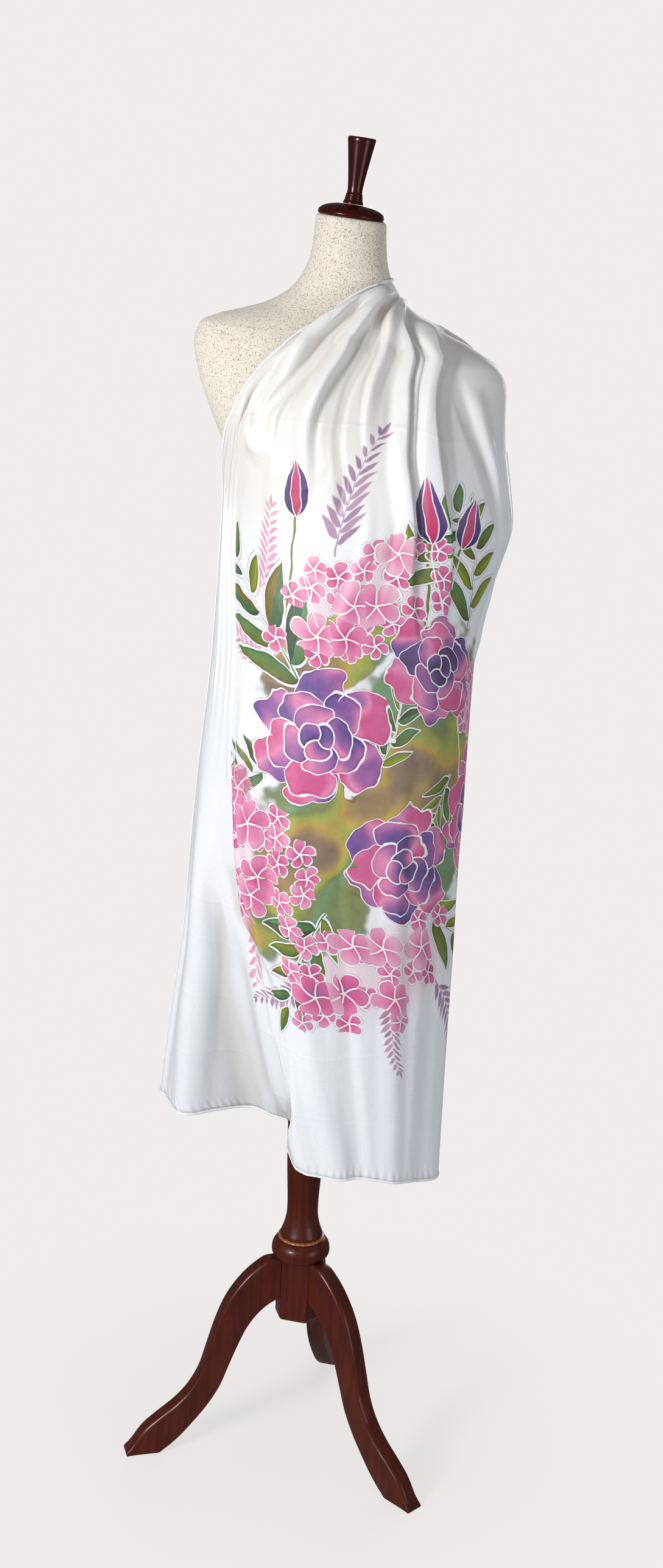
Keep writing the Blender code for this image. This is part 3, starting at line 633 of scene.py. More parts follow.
back = {
    "rows": 54, "spacing": ((0, 0.15, 0.4, 0.97, 1), (2.6, 1.9, 1.0, 0.8, 1.6)),
    "joined": 0.10, "flattened": 0.10,
    "levels": (0.0, 0.055, 0.120, 0.210, 0.360, 0.560, 0.780, 1.0),
    "headings": np.array((
        (0, 90, 132, 172, 193, 210, 223.5, 232, 238), (0.3, 90, 130, 159, 175.5, 189, 199.5, 205, 208.5),
        (0.6, 90, 119, 139, 151, 160.5, 166.5, 170, 171.5), (0.86, 90, 101, 111, 118, 124, 129, 130, 131),
        (1, 90, 93, 98, 102, 107, 110, 111, 111),
    )),
    "heights": thousandths(
        (0, 1620, 1608, 1585, 1548, 1480, 1390, 1295, 1200),
        (300, 1615, 1598, 1568, 1522, 1440, 1330, 1215, 1100),
        (600, 1600, 1579, 1545, 1493, 1400, 1272, 1135, 1000),
        (860, 1534, 1510, 1473, 1416, 1312, 1165, 1005, 845),
        (1000, 1440, 1412, 1372, 1308, 1195, 1030, 845, 650),
    ),
    "creases": (
        ((475, 0, 480, 80, 470, 200, 455, 360, 450, 520), 16, 14, -6.5, 100, 450),
        ((385, 0, 390, 100, 375, 240, 365, 420, 360, 640), 26, 24, 8, 120, 450),
        ((300, 20, 300, 110, 285, 230, 270, 360), 18, 14, -5, 250, 400),
        ((200, 80, 190, 240, 170, 460, 165, 720, 160, 1050), 30, 26, 7.5, 300, 0),
        ((560, -80, 575, 60, 590, 200, 610, 420, 625, 700, 630, 1050), 30, 12, 10.5, 50, 0),
        ((625, -80, 640, 60, 650, 200, 665, 420, 680, 700), 10, 20, -6, 50, 500),
        ((700, -80, 715, 60, 735, 200, 760, 420, 785, 700, 790, 1050), 28, 12, 11, 50, 0),
        ((755, -80, 770, 60, 790, 180, 825, 360), 9, 22, -5, 50, 500),
        ((60, 260, 55, 480, 50, 720, 45, 1050), 20, 24, -5, 300, 0),
        ((280, 420, 275, 620, 270, 820, 265, 1050), 24, 20, -5.5, 350, 0),
        ((440, 460, 450, 660, 455, 840, 455, 1050), 26, 24, 6, 350, 0),
        ((540, 500, 545, 700, 548, 860, 550, 1050), 22, 20, -4.5, 350, 0),
        ((700, 520, 710, 700, 712, 860, 715, 1050), 20, 18, -5, 350, 0),
        ((880, 160, 890, 340, 895, 560, 895, 800), 22, 20, 5, 300, 350),
        ((950, 260, 950, 480, 950, 740, 950, 1050), 18, 16, -4.5, 300, 0),
        ((340, 100, 345, 200, 335, 300), 10, 12, 2.4, 350, 450),
        ((520, 80, 525, 180, 520, 300), 10, 12, -2.4, 350, 450),
    ),
}


def fromLines(table, levels, across, down):
    # smooth down each fold line, then smooth across the fold lines
    return smoothCurve(table[:, 0], smoothCurve(levels, table[:, 1:].T, down).T, across)


def onHull(heading, height):
    # a half ellipse to the front and one to the back, through the loop's measures at that height
    left, right, front, back, leftY, rightY = readTable(scarf["hull"], height)
    turn = np.radians(heading)
    sideY = np.where(np.sin(turn) < 0, leftY, rightY)
    depth = np.where(np.cos(turn) > 0, sideY - front, back - sideY)
    x = (left + right) / 2 + (right - left) / 2 * np.sin(turn)
    return np.stack([x, sideY - depth * np.cos(turn), height], axis=-1)


def unitNormals(points):
    # cross product of the way down and the way across, of length one
    normal = np.cross(np.gradient(points, axis=1), np.gradient(points, axis=0))
    return normal / np.linalg.norm(normal, axis=-1, keepdims=True)


def creaseHeights(base, across, down, creases):
    # height × fading at both ends × raised cosine of the distance to the path over the width there
    total = np.zeros(base.shape[:2])
    c, v = np.meshgrid(across, down, indexing="ij")
    t = np.linspace(0, 1, scarf["creaseStations"])
    beside, below = scarf["creaseReach"]
    for path, *measures in creases:
        left, right, height, fadeIn, fadeOut = np.array(measures) / 1000
        knots = np.array(path).reshape(-1, 2) / 1000
        line = smoothCurve(np.linspace(0, 1, len(knots)), knots, t)
        lineC, lineV = np.clip(line[:, 0], 0, 1), line[:, 1]
        i = np.interp(lineC, across, np.arange(len(across)))
        j = np.interp(lineV, down, np.arange(len(down)))
        i0, j0 = np.minimum(i.astype(int), len(across) - 2), np.minimum(j.astype(int), len(down) - 2)
        a, b = (i - i0)[:, None], (j - j0)[:, None]
        spot = (
            base[i0, j0] * (1 - a) * (1 - b) + base[i0 + 1, j0] * a * (1 - b)
            + base[i0, j0 + 1] * (1 - a) * b + base[i0 + 1, j0 + 1] * a * b
        )
        lead = np.maximum(lineV - down[-1], 0) + np.minimum(lineV - down[0], 0)
        spot = spot + lead[:, None] * np.array([0, 0, -1.1])  # the path may run on past the hem
        near = (
            (c > lineC.min() - beside) & (c < lineC.max() + beside)
            & (v > lineV.min() - below) & (v < lineV.max() + below)
        )
        points, start, way = base[near], spot[:-1], np.diff(spot, axis=0)
        length = np.maximum((way**2).sum(-1), 1e-12)
        offset = points[:, None, :] - start[None, :, :]
        share = np.clip((offset * way).sum(-1) / length, 0, 1)
        gap = np.linalg.norm(offset - share[..., None] * way, axis=-1)
        best = gap.argmin(axis=1)
        rows = np.arange(len(points))
        along = (best + share[rows, best]) / (len(t) - 1)
        width = np.where(c[near] < np.interp(along, t, line[:, 0]), left, right)
        bump = 0.5 + 0.5 * np.cos(np.pi * np.clip(gap[rows, best] / width, 0, 1))
        if fadeIn > 0:
            bump *= smoothStep(0, fadeIn, along)
        if fadeOut > 0:
            bump *= 1 - smoothStep(1 - fadeOut, 1, along)
        total[near] += height * bump
    return total


def limited(heights, down):
    # troughs level off, as a hyperbolic tangent, at the room that the silk has over the form
    limit = readTable(scarf["troughLimits"], down)[0]
    return limit * np.where(heights < 0, np.tanh(heights / limit), heights / limit)


def meetOnShoulder(falls, downs):
    # both falls eased to the mean of their first rows, then put in one run from hem to hem
    shared = (falls[0][:, :1] + falls[1][:, :1]) / 2
    for values, down, fall in zip(falls, downs, (front, back)):
        share = 1 - smoothStep(0, fall["joined"], down)
        values += (shared - values[:, :1]) * share.reshape(-1, *(1,) * (values.ndim - 2))
    return np.concatenate([falls[1][:, ::-1], falls[0][:, 1:]], axis=1)


def easedOverRidge(points, crest):
    # running average down the rows, strongest at the shoulder and gone a hand's width away
    travel = np.cumsum(np.linalg.norm(np.diff(points, axis=1), axis=-1), axis=1)
    travel = np.pad(travel, ((0, 0), (1, 0)))
    away = np.abs(travel - travel[:, crest:crest + 1])
    weight = (1 - smoothStep(0.2 * scarf["ridgeEasing"], scarf["ridgeEasing"], away))[:, 1:-1, None]
    for _ in range(scarf["ridgeRounds"]):
        middle = (points[:, :-2] + points[:, 2:]) / 2
        points[:, 1:-1] += (middle - points[:, 1:-1]) * weight * 0.5
    return points


def scarfSurface():
    # the front fall and the back fall, joined over the shoulder, then eased, creased and leaned
    across = spread(scarf["columns"], *scarf["spacing"])
    downs = [spread(fall["rows"], *fall["spacing"]) for fall in (front, back)]
    sheets = [
        onHull(*(fromLines(fall[key], fall["levels"], across, down) for key in ("headings", "heights")))
        for fall, down in zip((front, back), downs)
    ]
    beyondFold = scarf["foldShares"][-1, 0]
    share = readTable(scarf["foldShares"], np.minimum(across, beyondFold))[0]
    sheets[0][..., 1] += share[:, None] * readTable(scarf["foldDepths"], downs[0])[0]
    base = meetOnShoulder(sheets, downs)
    heights, kept = [], scarf["overShoulder"]
    for fall, sheet, down in zip((front, back), sheets, downs):
        raised = limited(creaseHeights(sheet, across, down, fall["creases"]), down)
        heights.append(raised * (kept + (1 - kept) * smoothStep(0, fall["flattened"], down)))
    crest = len(downs[1]) - 1
    base = easedOverRidge(base, crest)
    points = base + unitNormals(base) * meetOnShoulder(heights, downs)[..., None]
    return leaned(clearOfForm(points, scarf["clearance"], scarf["ease"])), across


def clothCoordinates(points, across):
    # metres along the silk: across from the crease beside the left edge, and up from the front hem
    acrossSteps = np.linalg.norm(np.diff(points, axis=0), axis=-1)
    fromLeft = np.pad(np.cumsum(acrossSteps, axis=0), ((1, 0), (0, 0)))
    crease = np.array([np.interp(scarf["printEdge"], across, column) for column in fromLeft.T])
    downSteps = np.linalg.norm(np.diff(points, axis=1), axis=-1)
    downSteps = downSteps.mean(axis=0) * 0.5 + downSteps * 0.5
    fromHem = np.pad(np.cumsum(downSteps[:, ::-1], axis=1)[:, ::-1], ((0, 0), (0, 1)))
    kernel = np.hanning(scarf["edgeSmoothing"])
    kernel /= kernel.sum()
    reach = len(kernel) // 2
    padded = np.pad(fromLeft - crease, ((0, 0), (reach, reach)), mode="edge")
    smoothed = np.array([np.convolve(row, kernel, mode="valid") for row in padded])
    return np.stack([smoothed, fromHem], axis=-1)


def foldHollows(points):
    # how far each point lies below the average of its surroundings, along the normal, in metres
    blurred = points
    for axis, reach in enumerate(scarf["hollowReach"]):
        kernel = np.hanning(2 * reach + 3)[1:-1]
        kernel /= kernel.sum()
        wide = [(reach, reach) if k == axis else (0, 0) for k in range(3)]
        padded = np.pad(blurred, wide, mode="reflect", reflect_type="odd")
        size = points.shape[axis]
        blurred = sum(share * np.take(padded, range(k, k + size), axis) for k, share in enumerate(kernel))
    return ((blurred - points) * unitNormals(points)).sum(axis=-1)


def makeScarf(material):
    # two layers half a thickness either side of the middle surface, closed round the four edges
    points, across = scarfSurface()
    coordinates = clothCoordinates(points, across)
    backing = np.exp(-np.clip(formGap(leaned(points, -1))[0], 0, 1) / scarf["warmReach"])
    backing *= smoothStep(*scarf["warmFrom"], points[..., 2])
    columns, rows = points.shape[:2]
    count = columns * rows
    half = unitNormals(points) * scarf["thickness"] / 2
    rim = rimOf(columns, rows)
    after = np.roll(rim, -1)
    faces = np.vstack([
        gridFaces(columns, rows),
        gridFaces(columns, rows, first=count)[:, ::-1],
        np.stack([rim, after, after + count, rim + count], axis=-1),
    ])
    # hollow: how deep each point lies in a fold, which the silk's colour darkens as painted shade
    marks = {"backing": np.tile(backing.ravel(), 2), "hollow": np.tile(foldHollows(points).ravel(), 2)}
    piece = makePiece(
        "silk_scarf", [points + half, points - half], faces, material, ["scarf_front", "scarf_back"],
        uv=np.tile(coordinates.reshape(-1, 2), (2, 1)), marks=marks,
    )
    return piece, points, coordinates


hem = {
    "halfWidth": 0.0019, "halfThickness": 0.0012, "inset": 0.0012, "lift": 0.0004, "sides": 8,
    "station": 0.0018, "stitch": 0.0070, "ripple": 0.09, "unevenness": 31.0,
}


def makeHem(points, coordinates, material):
    # a flattened tube rolled along the four edges, its size rippling with the stitches
    rim = rimOf(*points.shape[:2])
    edge = np.concatenate([points, unitNormals(points), coordinates], axis=-1).reshape(-1, 8)[rim]
    edge = np.vstack([edge, edge[:1]])
    travel = np.cumsum(np.append(0, np.linalg.norm(np.diff(edge[:, :3], axis=0), axis=1)))
    count, sides = int(travel[-1] / hem["station"]), hem["sides"]
    at = np.linspace(0, travel[-1], count, endpoint=False)
    edge = np.stack([np.interp(at, travel, column) for column in edge.T], axis=-1)
    path, facing, places = edge[:, :3], edge[:, 3:6], edge[:, 6:]
    way = np.roll(path, -1, axis=0) - np.roll(path, 1, axis=0)
    way /= np.linalg.norm(way, axis=1, keepdims=True)
    inward = np.cross(facing, way)
    inward /= np.linalg.norm(inward, axis=1, keepdims=True)
    uneven = 0.6 + 0.4 * np.sin(at * hem["unevenness"])
    ripple = 1 + hem["ripple"] * np.sin(2 * np.pi * at / hem["stitch"]) * uneven
    turn = circle(sides)
    wide = (hem["halfWidth"] * ripple)[:, None] * np.cos(turn)
    thick = (hem["halfThickness"] * ripple)[:, None] * np.sin(turn) + hem["lift"]
    middle = path + inward * hem["inset"]
    rings = middle[:, None] + inward[:, None] * wide[..., None] + facing[:, None] * thick[..., None]
    k, last = np.arange(sides), (count - 1) * sides
    after = (k + 1) % sides
    joint = np.stack([last + k, last + after, after, k], axis=-1)
    marks = {label: np.zeros(count * sides) for label in ("backing", "hollow")}
    return makePiece(
        "rolled_hem", rings, np.vstack([gridFaces(count, sides, closed=True), joint]), material, [],
        uv=np.repeat(places, sides, axis=0), marks=marks,
    )


# The painted design, in metres across and up the silk

painting = {
    "line": 0.0010, "wobble": 0.0135, "ripple": 0.0048,
    # open flowers: place across and up, turn, radius
    "flowers": (
        (0.130, 0.600, 20, 0.100), (0.262, 0.440, 75, 0.092), (0.290, 0.700, 130, 0.084),
        (0.395, 0.500, 10, 0.075),
    ),
    # their rows of petals, the outer first: number, turn, radius, how much the sides are cut,
    # swirl, unevenness, how much darker the row is
    "petalRows": (
        (6.0, 0.0, 1.0, 0.26, 0.07, 0.20, 0.00), (5.0, 0.4, 0.73, 0.24, -0.12, 0.16, 0.10),
        (4.0, 0.2, 0.48, 0.22, 0.26, 0.14, 0.24), (3.0, 0.7, 0.26, 0.18, -0.50, 0.10, 0.40),
    ),
    # clusters of small blossoms: middle, turn, half length and half width
    "clusters": (
        (0.190, 0.775, 35, 0.100, 0.050), (0.060, 0.440, -60, 0.085, 0.050),
        (0.215, 0.300, 20, 0.110, 0.050), (0.375, 0.610, 90, 0.080, 0.045),
    ),
    # their two sizes of blossom: cells per metre, radius in a cell, how far the clusters grow for
    # them along and across, the least draw that keeps one
    "blossoms": ((19.5, 0.66, 1.0, 1.0, -1.0), (31.0, 0.60, 1.35, 1.45, 0.35)),
    # leafy branches and feathery sprigs: foot, turn, length, way that they bend
    "branches": (
        (0.110, 0.660, 118, 0.200, 1), (0.235, 0.800, 66, 0.160, -1), (0.085, 0.545, 188, 0.110, -1),
        (0.300, 0.385, -42, 0.180, 1), (0.160, 0.375, 226, 0.160, 1), (0.345, 0.760, 84, 0.170, 1),
        (0.205, 0.560, 62, 0.120, 1), (0.330, 0.560, 250, 0.110, -1),
    ),
    "sprigs": (
        (0.070, 0.680, 152, 0.120, 1), (0.150, 0.830, 96, 0.150, -1), (0.045, 0.395, 245, 0.160, 1),
        (0.120, 0.290, 225, 0.120, -1), (0.215, 0.260, 262, 0.100, 1), (0.300, 0.290, -58, 0.130, -1),
        (0.060, 0.530, 172, 0.090, 1), (0.345, 0.330, -35, 0.120, 1), (0.050, 0.760, 70, 0.110, 1),
    ),
    "buds": ((0.262, 0.905, 14, 0.046), (0.330, 0.900, -12, 0.040), (0.085, 0.900, 16, 0.036)),
    "washes": (
        (0.200, 0.540, 62, 0.190, 0.100), (0.150, 0.710, 30, 0.110, 0.045),
        (0.130, 0.380, 30, 0.110, 0.060), (0.340, 0.570, 90, 0.190, 0.065),
    ),
}
paints = {
    "plum": tone(100, 72, 116), "violet": tone(128, 96, 166), "orchid": tone(188, 116, 178),
    "rose": tone(230, 108, 162), "pink": tone(244, 156, 194), "blush": tone(250, 208, 220),
    "coral": tone(226, 104, 122), "lilac": tone(190, 158, 205), "rim": tone(150, 138, 150),
    "lime": tone(170, 180, 52), "olive": tone(132, 140, 58), "forest": tone(66, 98, 72),
    "sea": tone(112, 160, 104), "mustard": tone(206, 168, 52), "umber": tone(146, 116, 84),
}
paper = (1.0, 1.0, 1.0)  # unpainted silk


def petalGroup():
    # petals round a middle: the edge is a cube of the angle off each petal's axis, and the gap is
    # the distance to that edge or to the neighbouring petal, whichever is less
    tree, (vector, petals, shift, radius, cut, swirl, uneven, ripple, seed) = newGroup(
        "petal_ring", Vector=None, Petals=6.0, Shift=0.0, Radius=1.0, Cut=0.3, Swirl=0.0, Uneven=0.2,
        Ripple=0.0, Seed=0.0,
    )
    x, y, _ = parts(vector)
    r = vec("LENGTH", joined(x, y))
    turns = fit(r, swirl, maths("ARCTAN2", y, x) * (1 / (2 * math.pi)))
    t = fit(turns, petals, shift)
    across = maths("FRACT", t) - 0.5
    tint = chance(maths("FLOORED_MODULO", maths("FLOOR", t), petals), seed)[0]
    off = abs(across) * 2.0
    edge = (1.0 - off**3.0 * cut - tint * uneven + ripple) * radius
    outward, sideward = edge - r, r * (1.0 - off) * (math.pi / petals)
    return closeGroup(
        tree, Gap=maths("MINIMUM", outward, sideward), Inside=outward > 0.0, Reach=r / edge,
        Tint=tint, Across=across,
    )


def leafWave(along, power=0.72):
    # a sine of a power: nought at both ends and widest before the middle
    return maths("SINE", along**power * math.pi)


def sprigGroup():
    # leaves off both sides of a stem that bends as a parabola, each a power of a sine wide,
    # shorter towards the tip, with one more leaf at the tip
    tree, (vector, leaves, length, width, bend, stem) = newGroup(
        "sprig", Vector=None, Leaves=5.0, Length=0.3, Width=0.07, Bend=0.25, Stem=0.01,
    )
    x, y, z = parts(vector)
    away = y - x * x * bend
    side, off = maths("SIGN", away), abs(away)
    t = fit(side, 0.24, fit(off, -0.95, x) * leaves)
    number = maths("FLOOR", t)
    lateral = (maths("FRACT", t) - 0.5) / leaves
    foot = (number + 0.5) / leaves
    tint = chance(number, side + z)[0]
    taper = fit(foot, -0.62, 1.12) * fit(tint, 0.35, 0.80)
    along = maths("DIVIDE", off, length * taper, clamp=True)
    wave = leafWave(along)
    gap = width * taper * wave - abs(lateral) * 0.74
    gap = gap - (1.0 - (foot > 0.06) * (foot < 0.98)) - (wave < 0.04)
    tipWave = leafWave(maths("DIVIDE", x - 0.97, length * 0.75, clamp=True))
    tipGap = width * 0.7 * tipWave - off - (tipWave < 0.04)
    return closeGroup(
        tree, Gap=maths("MAXIMUM", gap, tipGap), Stem=stem * fit(x, -0.6, 1.0) - off - (abs(x - 0.5) > 0.5),
        Tint=tint, Side=maths("SIGN", lateral), Along=along,
    )


def lineMask(gap, width, inner=0.75, outer=1.35):
    # 1 within the width of an outline, with soft sides
    return step(abs(gap), width * inner, width * outer, 1.0, 0.0)


def pooled(gap, colour, width, depth):
    # paint gathered darker beside its outline
    return shaded(step(gap, width, width * 5.5, depth, 0.0), colour, colour)


def flowerGroup(petals):
    # rows of petals, the outer first, each laid over the last
    tree, (vector, flow, width) = newGroup("open_flower", Vector=None, Flow=0.5, Line=0.02)
    seed = parts(vector)[2]
    ripple = (noise(vector, 3.4, 1.0) - 0.5) * 0.42
    for number, (count, shift, radius, cut, swirl, uneven, deep) in enumerate(painting["petalRows"]):
        ring = useGroup(
            petals, Vector=vector, Petals=count, Shift=shift, Radius=radius, Cut=cut, Swirl=swirl,
            Uneven=uneven, Ripple=ripple, Seed=seed + number * 7.0,
        )
        share = fit(ring["Tint"], 0.50, fit(flow, 0.62, deep - 0.02))
        share = maths("ADD", fit(ring["Reach"], -0.34, share), ring["Across"] * 0.45, clamp=True)
        paint = ramp(share, {0.0: "rose", 0.20: "pink", 0.42: "orchid", 0.66: "violet", 1.0: "plum"})
        paint = pooled(ring["Gap"], paint, width, 0.42)
        edge = lineMask(ring["Gap"], width, 0.7, 1.3)
        if number == 0:
            colour, inside, line, gap = paint, ring["Inside"], edge, ring["Gap"]
        else:
            colour = mix(ring["Inside"], colour, paint)
            line = maths("MAXIMUM", line * (1.0 - ring["Inside"]), edge)
    return closeGroup(tree, Colour=colour, Inside=inside, Line=line, Gap=gap)


def nearest(vector, places, middle=(0, 0, 0)):
    # coordinates about whichever place is nearest, with its number as their third part
    best = chosen = None
    for number, (x, y, turn, size, *way) in enumerate(places):
        across = size * (way[0] if way else 1)
        local = placed(vector, (x, y, -(number + 1) * size), turn, (size, across, size))
        away = vec("LENGTH", vec("MULTIPLY", vec("SUBTRACT", local, middle), (1, 1, 0)))
        if best is None:
            best, chosen = away, local
        else:
            node = addNode(local.tree, "Mix", {0: away < best, 4: chosen, 5: local}, data_type="VECTOR")
            chosen, best = Signal(node.outputs[1]), maths("MINIMUM", away, best)
    return chosen


def envelope(vector, ovals):
    # least distance to the middles of some ovals, in their own sizes
    best = None
    for x, y, turn, long, wide in ovals:
        away = vec("LENGTH", placed(vector, (x, y, 0), turn, (long, wide, 1)))
        best = away if best is None else maths("MINIMUM", best, away)
    return best


def laid(under, colour, inside, line, gap=None, width=0.0, keep=None):
    # a painted motif over what is there already: a faint dark rim, its colour and its outline
    ink, lines = under
    if gap is not None:
        rim = step(abs(gap + width * 1.55), width * 0.2, width * 0.8, 0.5, 0.0)
        ink = shaded(rim if keep is None else rim * keep, ink, paints["rim"])
    return mix(inside, ink, colour), maths("MAXIMUM", lines * (1.0 - inside), line)


def blossomLayer(place, other, petals, number):
    # small five-petalled blossoms of one size, one in each cell of a scatter, inside the clusters
    scale, radius, longer, wider, least = painting["blossoms"][number]
    aside = (number * 7.3, number * 2.1, 0)
    at = vec("ADD", place, aside)
    given = {"Vector": at, "Scale": scale, "Randomness": 0.62}
    centre = Signal(addNode(at.tree, "TexVoronoi", given, voronoi_dimensions="2D").outputs["Position"])
    grown = [(x, y, turn, long * longer, wide * wider) for x, y, turn, long, wide in painting["clusters"]]
    draw, dye = chance(*parts(centre)[:2])
    keep = step(envelope(vec("SUBTRACT", centre, aside), grown), 0.98, 1.02, 1.0, 0.0) * (draw > least)
    ring = useGroup(
        petals, Vector=vec("SCALE", vec("SUBTRACT", at, centre), scale=scale / radius), Petals=5.0,
        Shift=draw * 5.0, Radius=1.0, Cut=0.42, Swirl=0.06, Uneven=0.14, Seed=draw,
        Ripple=(other - 0.5) * 0.3,
    )
    share = fit(ring["Reach"], -0.50, fit(parts(dye)[0], 0.55, 0.30))
    share = fit(ring["Tint"], 0.25, share, clamp=True)
    paint = ramp(share, {0.0: "blush", 0.35: "pink", 0.70: "rose", 1.0: "orchid"})
    width = painting["line"] * scale / radius
    paint = pooled(ring["Gap"], paint, width, 0.36)
    paint = mix(step(ring["Reach"], 0.06, 0.14, 1.0, 0.0), paint, paints["mustard"])
    return paint, ring["Inside"] * keep, lineMask(ring["Gap"], width) * keep, ring["Gap"], width, keep


def paintingGroup(petals, sprig, flower):
    # washes, sprigs, branches, blossoms, buds and open flowers laid over one another
    tree, (raw,) = newGroup("painting", Vector=None)
    place = raw
    for scale, reach in ((11.0, painting["wobble"]), (48.0, painting["ripple"])):
        drift = vec("SUBTRACT", noise(raw, scale, 1.0, colour=True), (0.5, 0.5, 0.5))
        place = vec("ADD", place, vec("SCALE", drift, scale=reach))
    place = vec("MULTIPLY", place, (1, 1, 0))
    flow = step(noise(place, 13.0, 1.5), 0.36, 0.64)
    other = noise(vec("ADD", place, (3, 1, 0)), 24.0, 2.0, 0.55)
    line = painting["line"]

    # washes between the motifs
    far = fit(other - 0.5, 0.9, envelope(place, painting["washes"]))
    spill = noise(vec("ADD", place, (1, 5, 0)), 8.0, 2.0, 0.45)
    stops = {0.0: "umber", 0.22: "mustard", 0.42: "lime", 0.60: "olive", 0.80: "sea", 1.0: "olive"}
    wash = ramp(step(spill, 0.33, 0.67), stops)
    wash = shaded(step(abs(far - 0.93), 0.0, 0.07, 0.45, 0.0), wash, paints["umber"])
    ink = mix(step(envelope(place, painting["clusters"]), 0.6, 1.5, 0.55, 0.0), paper, paints["blush"])
    ink = mix(step(far, 0.86, 1.05, 0.92, 0.0), ink, wash)

    # feathery sprigs without an outline
    local = nearest(place, painting["sprigs"], (0.5, 0.1, 0))
    leaf = useGroup(sprig, Vector=local, Leaves=11.0, Length=0.17, Width=0.034, Bend=0.28, Stem=0.008)
    tint = ramp(chance(parts(local)[2], 3.0)[0], {0.0: "lilac", 0.45: "pink", 0.75: "violet", 1.0: "coral"})
    tint = mix(leaf["Tint"] * 0.5, tint, paints["blush"])
    ink = mix(step(maths("MAXIMUM", leaf["Gap"], leaf["Stem"]), -0.004, 0.008, 0.0, 0.88), ink, tint)

    # outlined leaves on branches
    local = nearest(place, painting["branches"], (0.5, 0.1, 0))
    leaf = useGroup(sprig, Vector=local, Leaves=4.4, Length=0.34, Width=0.072, Bend=0.22, Stem=0.012)
    body = maths("MAXIMUM", leaf["Gap"], leaf["Stem"])
    share = fit(leaf["Tint"], 0.8, leaf["Side"] * 0.10, clamp=True)
    green = ramp(share, {0.0: "lime", 0.30: "olive", 0.62: "sea", 0.80: "forest", 1.0: "mustard"})
    green = shaded(step(leaf["Along"], 0.0, 0.75, 0.45, 0.0), green, green)
    green = shaded(step(leaf["Gap"], 0.008, 0.03, 0.45, 0.0), green, green)
    width = 0.0062
    painted = laid((ink, 0.0), green, step(body, -0.003, 0.003), lineMask(body, width), body, width)

    # clusters of blossoms, the small ones under the large
    for layer in [blossomLayer(place, other, petals, number) for number in (0, 1)][::-1]:
        painted = laid(painted, *layer)

    # closed buds on stems, with a fold down each side
    x, y, _ = parts(nearest(place, painting["buds"]))
    rise = fit(y, 0.5, 0.5, clamp=True)
    half = leafWave(rise, 0.70) * 0.46
    gap, fold = half - abs(x), half * 0.42 - abs(x)
    width = line / 0.045
    bud = mix(step(fold, -0.05, 0.05), paints["violet"], paints["rose"])
    bud = mix(rise, mix(1.0, bud, bud, "MULTIPLY"), bud)
    inside = gap > 0.0
    edges = maths("MAXIMUM", lineMask(gap, width), lineMask(fold, width * 0.8) * inside)
    ink, lines = laid(painted, bud, inside, edges)
    stalk = step(abs(fit(y * y, 0.06, x)), 0.035, 0.055, 1.0, 0.0) * ((y < -0.98) * (y > -4.2))
    ink = mix(stalk * (1.0 - lines), ink, paints["olive"])

    # open flowers
    width = line / 0.09
    full = useGroup(flower, Vector=nearest(place, painting["flowers"]), Flow=flow, Line=width)
    ink, lines = laid((ink, lines), full["Colour"], full["Inside"], full["Line"], full["Gap"], width)

    # granulated pigment, darker here and there, then the uncoloured lines
    ink = shaded(fit(noise(raw, 60.0, 4.0, 0.62), 0.8, -0.26, clamp=True), ink, ink)
    ink = mix(lines, ink, paper)
    printed = step(parts(raw)[0], -0.0006, 0.0006)
    return closeGroup(tree, Colour=mix(printed, paper, ink), Painted=printed * (1.0 - lines))


# Cloth and wood

silkLook = {
    "white": (0.80, 0.815, 0.84), "cool": (0.775, 0.795, 0.825), "warm": (0.735, 0.67, 0.575),
    # shaded: the colour of the painted shade laid into the hollows of the folds
    "thin": (0.66, 0.67, 0.69), "shaded": (0.56, 0.54, 0.50), "showsThrough": 0.85,
    "threads": 7000.0, "threadHeight": 0.00004, "roughness": 0.30, "specular": 0.60, "sheen": 0.12,
    "handling": 0.0014, "pucker": 0.0005,
    # pressed fold lines: height above the hem, rise per metre across, height of the ridge
    "pressed": (
        (0.972, 0.10, 0.00035), (0.655, 0.03, 0.00022), (0.345, 0.04, 0.00030), (0.270, -0.06, 0.00026),
        (0.185, -0.05, 0.00028), (0.088, -0.04, 0.00024),
    ),
}
# the rolled hem: its colours lighter than the flat silk's, as painted light that lifts the shade on the
# rolled edge; rougher, with smaller puckers
hemLook = {
    **silkLook, "white": (0.83, 0.835, 0.84), "cool": (0.82, 0.825, 0.84), "thin": (0.77, 0.78, 0.79),
    "roughness": 0.42, "pucker": 0.0001,
}
linenLook = {
    "pale": tone(227, 219, 206), "deep": tone(218, 209, 195), "slub": tone(208, 198, 178),
    "fleck": tone(92, 76, 58), "threads": 4200.0, "roughness": 0.86, "specular": 0.25, "sheen": 0.20,
}
woods = {
    "red_mahogany": {
        "dark": tone(72, 24, 11), "light": tone(84, 31, 15), "deep": tone(50, 13, 7), "rings": 60.0,
        "pores": 0.8, "roughness": 0.36, "coat": 0.20, "coatRoughness": 0.08,
    },
    "dark_mahogany": {
        "dark": tone(50, 7, 4), "light": tone(64, 12, 7), "deep": tone(32, 4, 3), "rings": 60.0,
        "pores": 0.4, "roughness": 0.26, "coat": 0.22, "coatRoughness": 0.04,
    },
    "pale_bead_wood": {
        "dark": tone(136, 82, 50), "light": tone(172, 112, 72), "deep": tone(98, 52, 32), "rings": 90.0,
        "pores": 1.0, "roughness": 0.34, "coat": 0.5, "coatRoughness": 0.15,
    },
}


